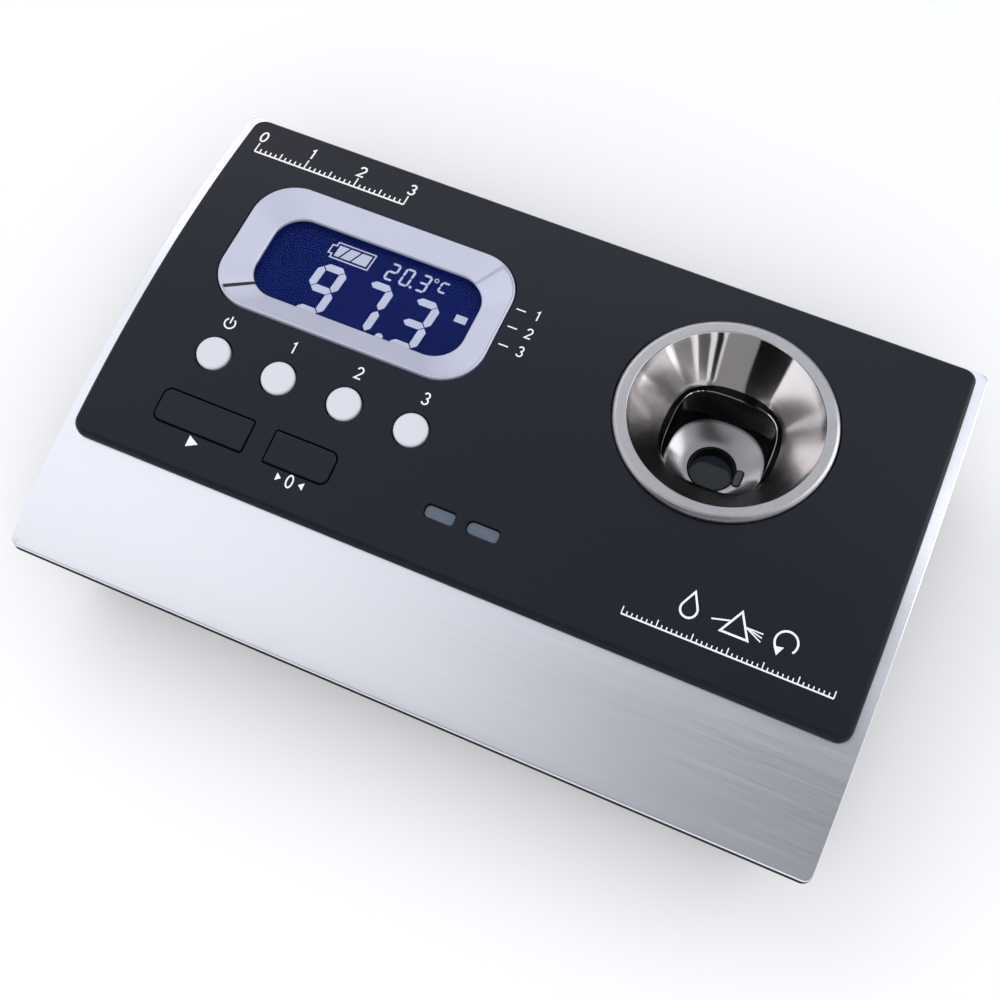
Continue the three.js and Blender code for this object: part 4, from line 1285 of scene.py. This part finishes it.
def add_feet():
    """Rubber pads with a soft edge and a shallow dish."""
    case_low = Extent("lower_case").low.z
    profile = [(3.1 * MM, 0.35 * MM), (2.6 * MM, 0.12 * MM), (2.2 * MM, 0)]
    profile += [*reversed(rounding(0.4 * MM, 4)), (0, case_low - 0.02 * MM)]
    for side in SIDES:
        box = Extent(f"foot_{side}")
        shell = Shell()
        shell.solid(box.circle(box.size.x / 2), profile)
        finish(shell.mesh(f"pad_{side}"), "black_rubber", f"foot_{side}", angle=40)


def add_screws():
    """Pan-headed case screws with a cross in the head and a ringed shaft."""
    shaft = 1.2 * MM
    pitch = 0.8 * MM
    for side in SIDES:
        box = Extent(f"case_screw_{side}")
        low = box.low.z
        head = box.size.x / 2
        neck = head - shaft
        profile = [(0.9 * MM, low), (0.35 * MM, low + 0.12 * MM), (0, low + 0.5 * MM)]
        profile += [(0, 4 * MM), (neck, 4 * MM)]
        z = 5 * MM
        while z < box.high.z - shaft:
            profile += [(neck + 0.3 * MM, z), (neck, z + pitch / 2)]
            z += pitch
        profile.append((neck + 0.5 * MM, box.high.z))
        place = Matrix.Translation((box.middle.x, box.middle.y, 0))
        shell = Shell(place)
        shell.solid(circle(head, 32), profile)
        arms = []
        for turn in (45, 135):
            arm = Shell(place @ Matrix.Rotation(math.radians(turn), 4, "Z"))
            outline = rounded_rect(2.5 * MM, 0.62 * MM, 0.1 * MM, steps=3)
            arm.solid(outline, [(-0.05 * MM, low - 0.3 * MM), (0.2 * MM, low + 1.2 * MM)])
            arms.append(arm.mesh("arm"))
        screw = carve(shell.mesh(f"screw_{side}"), arms)
        finish(screw, "screw_steel", f"case_screw_{side}")


def finish_kept_nodes():
    """The inner pieces keep their CAD shapes and get a full material each."""
    for part in frame["record"]["subparts"]:
        piece = frame["nodes"][part["node"]]
        if not piece.hide_render:
            piece.data.materials.clear()
            piece.data.materials.append(MATERIALS[part["material_slot"]])


# ---------------------------------------------------------------- floor, light and camera


def add_floor():
    """A wide pale floor, a hair under the feet."""
    half = 8.0
    shell = Shell()
    shell.cap(shell.level(lambda inset: square(half, half), 0, -0.05 * MM))
    floor = shell.mesh("floor")
    tint = surface("floor", (0.86, 0.86, 0.87), 0.75, mottle=(400, 3, 0.988, 1.023))
    floor.data.materials.append(tint.material)


def square(half_width, half_height):
    return [Vector((x * half_width, y * half_height)) for x, y in ((-1, -1), (1, -1), (1, 1), (-1, 1))]


def aim(piece, target):
    """Points a light or a card's -Z at a place."""
    way = Vector(target) - piece.location
    piece.rotation_euler = way.to_track_quat("-Z", "Y").to_euler()


def softbox(name, at, size, power, color=(1, 1, 1)):
    """A large lamp that lights surfaces but isn't mirrored in them."""
    data = bpy.data.lights.new(name, "AREA")
    data.shape = "RECTANGLE"
    data.size, data.size_y = size
    data.energy = power
    data.color = color
    lamp = bpy.data.objects.new(name, data)
    lamp.location = at
    bpy.context.scene.collection.objects.link(lamp)
    aim(lamp, (0, 0, 0.03))
    lamp.visible_camera = False
    lamp.visible_glossy = False


def card(name, bearing, elevation, width, height, brightness, distance=CARD_DISTANCE):
    """A flat card that only reflections see, as round a product table. Bearing 0 is +X, 90 is +Y."""
    a = math.radians(bearing)
    e = math.radians(elevation)
    away = Vector((math.cos(a) * math.cos(e), math.sin(a) * math.cos(e), math.sin(e)))
    shell = Shell()
    shell.cap(shell.level(lambda inset: square(width / 2, height / 2), 0, 0), up=False)
    piece = shell.mesh(name)
    piece.location = WELL.translation + away * distance
    aim(piece, WELL.translation)
    glow = {"Emission_Color": (1, 0.98, 0.99, 1), "Emission_Strength": brightness}
    piece.data.materials.append(Finish(name, (0, 0, 0), 0.5, Specular_IOR_Level=0, **glow).material)
    piece.visible_camera = False
    piece.visible_diffuse = False
    piece.visible_shadow = False


def add_light():
    """Even light for paint and plastic, and a room of cards for the metal to mirror."""
    world = bpy.data.worlds.new("studio")
    bpy.context.scene.world = world
    world.use_nodes = True
    background = world.node_tree.nodes["Background"]
    background.inputs["Color"].default_value = (0.95, 0.965, 1.0, 1)
    background.inputs["Strength"].default_value = 0.78
    softbox("key_light", (0.35, -0.75, 1.15), (1.4, 1.4), 11, (1.0, 0.99, 0.99))
    softbox("fill_light", (-0.8, 0.5, 1.0), (1.2, 0.9), 3)

    # Seen in the sheet: bright on the left and at the back, dark overhead at the right.
    card("sky_left", 200, 56, 0.8, 0.6, 1.1)
    card("sky_back", 124, 34, 1.0, 0.42, 1.9)
    card("shade_right", -54, 71, 0.5, 0.42, 0.1)

    # Seen in the cone after two bounces: close overhead.
    card("overhead_dark", 68, 80, 0.12, 0.11, 0.0, 0.4)

    for number, (bearing, width, brightness) in enumerate(CONE_CARDS):
        across = 2 * CARD_DISTANCE * math.tan(math.radians(width / 2))
        elevation, tall = FRONT_CARD if bearing < BACK_FROM else BACK_CARD
        card(f"cone_card_{number}", bearing, elevation, across, tall, brightness)


def add_camera():
    data = bpy.data.cameras.new("camera")
    data.sensor_width = 36
    data.lens = 52.13
    data.clip_start = 0.01
    camera = bpy.data.objects.new("camera", data)
    bpy.context.scene.collection.objects.link(camera)
    forward = Vector((-0.176, 0.359, -0.917)).normalized()
    right = Vector((0.916, 0.401, -0.019))
    right = (right - forward * right.dot(forward)).normalized()
    turn = Matrix((right, right.cross(forward), -forward)).transposed().to_4x4()
    camera.matrix_world = Matrix.Translation((54.48 * MM, -112.9 * MM, 296.1 * MM)) @ turn
    bpy.context.scene.camera = camera


# ---------------------------------------------------------------- the scene

add_top_plate()
add_control_panel()
add_bezel()
add_display_layers()
add_segments()
add_keys()
add_lenses()
add_panel_marks()
add_funnel()
add_gasket()
add_liner()
add_dish()
add_dish_surround()
add_sensor()
add_seal()
add_prism()
add_lower_case()
add_door()
add_feet()
add_screws()
finish_kept_nodes()
add_floor()
add_light()
add_camera()
bpy.context.scene.view_settings.view_transform = "Standard"
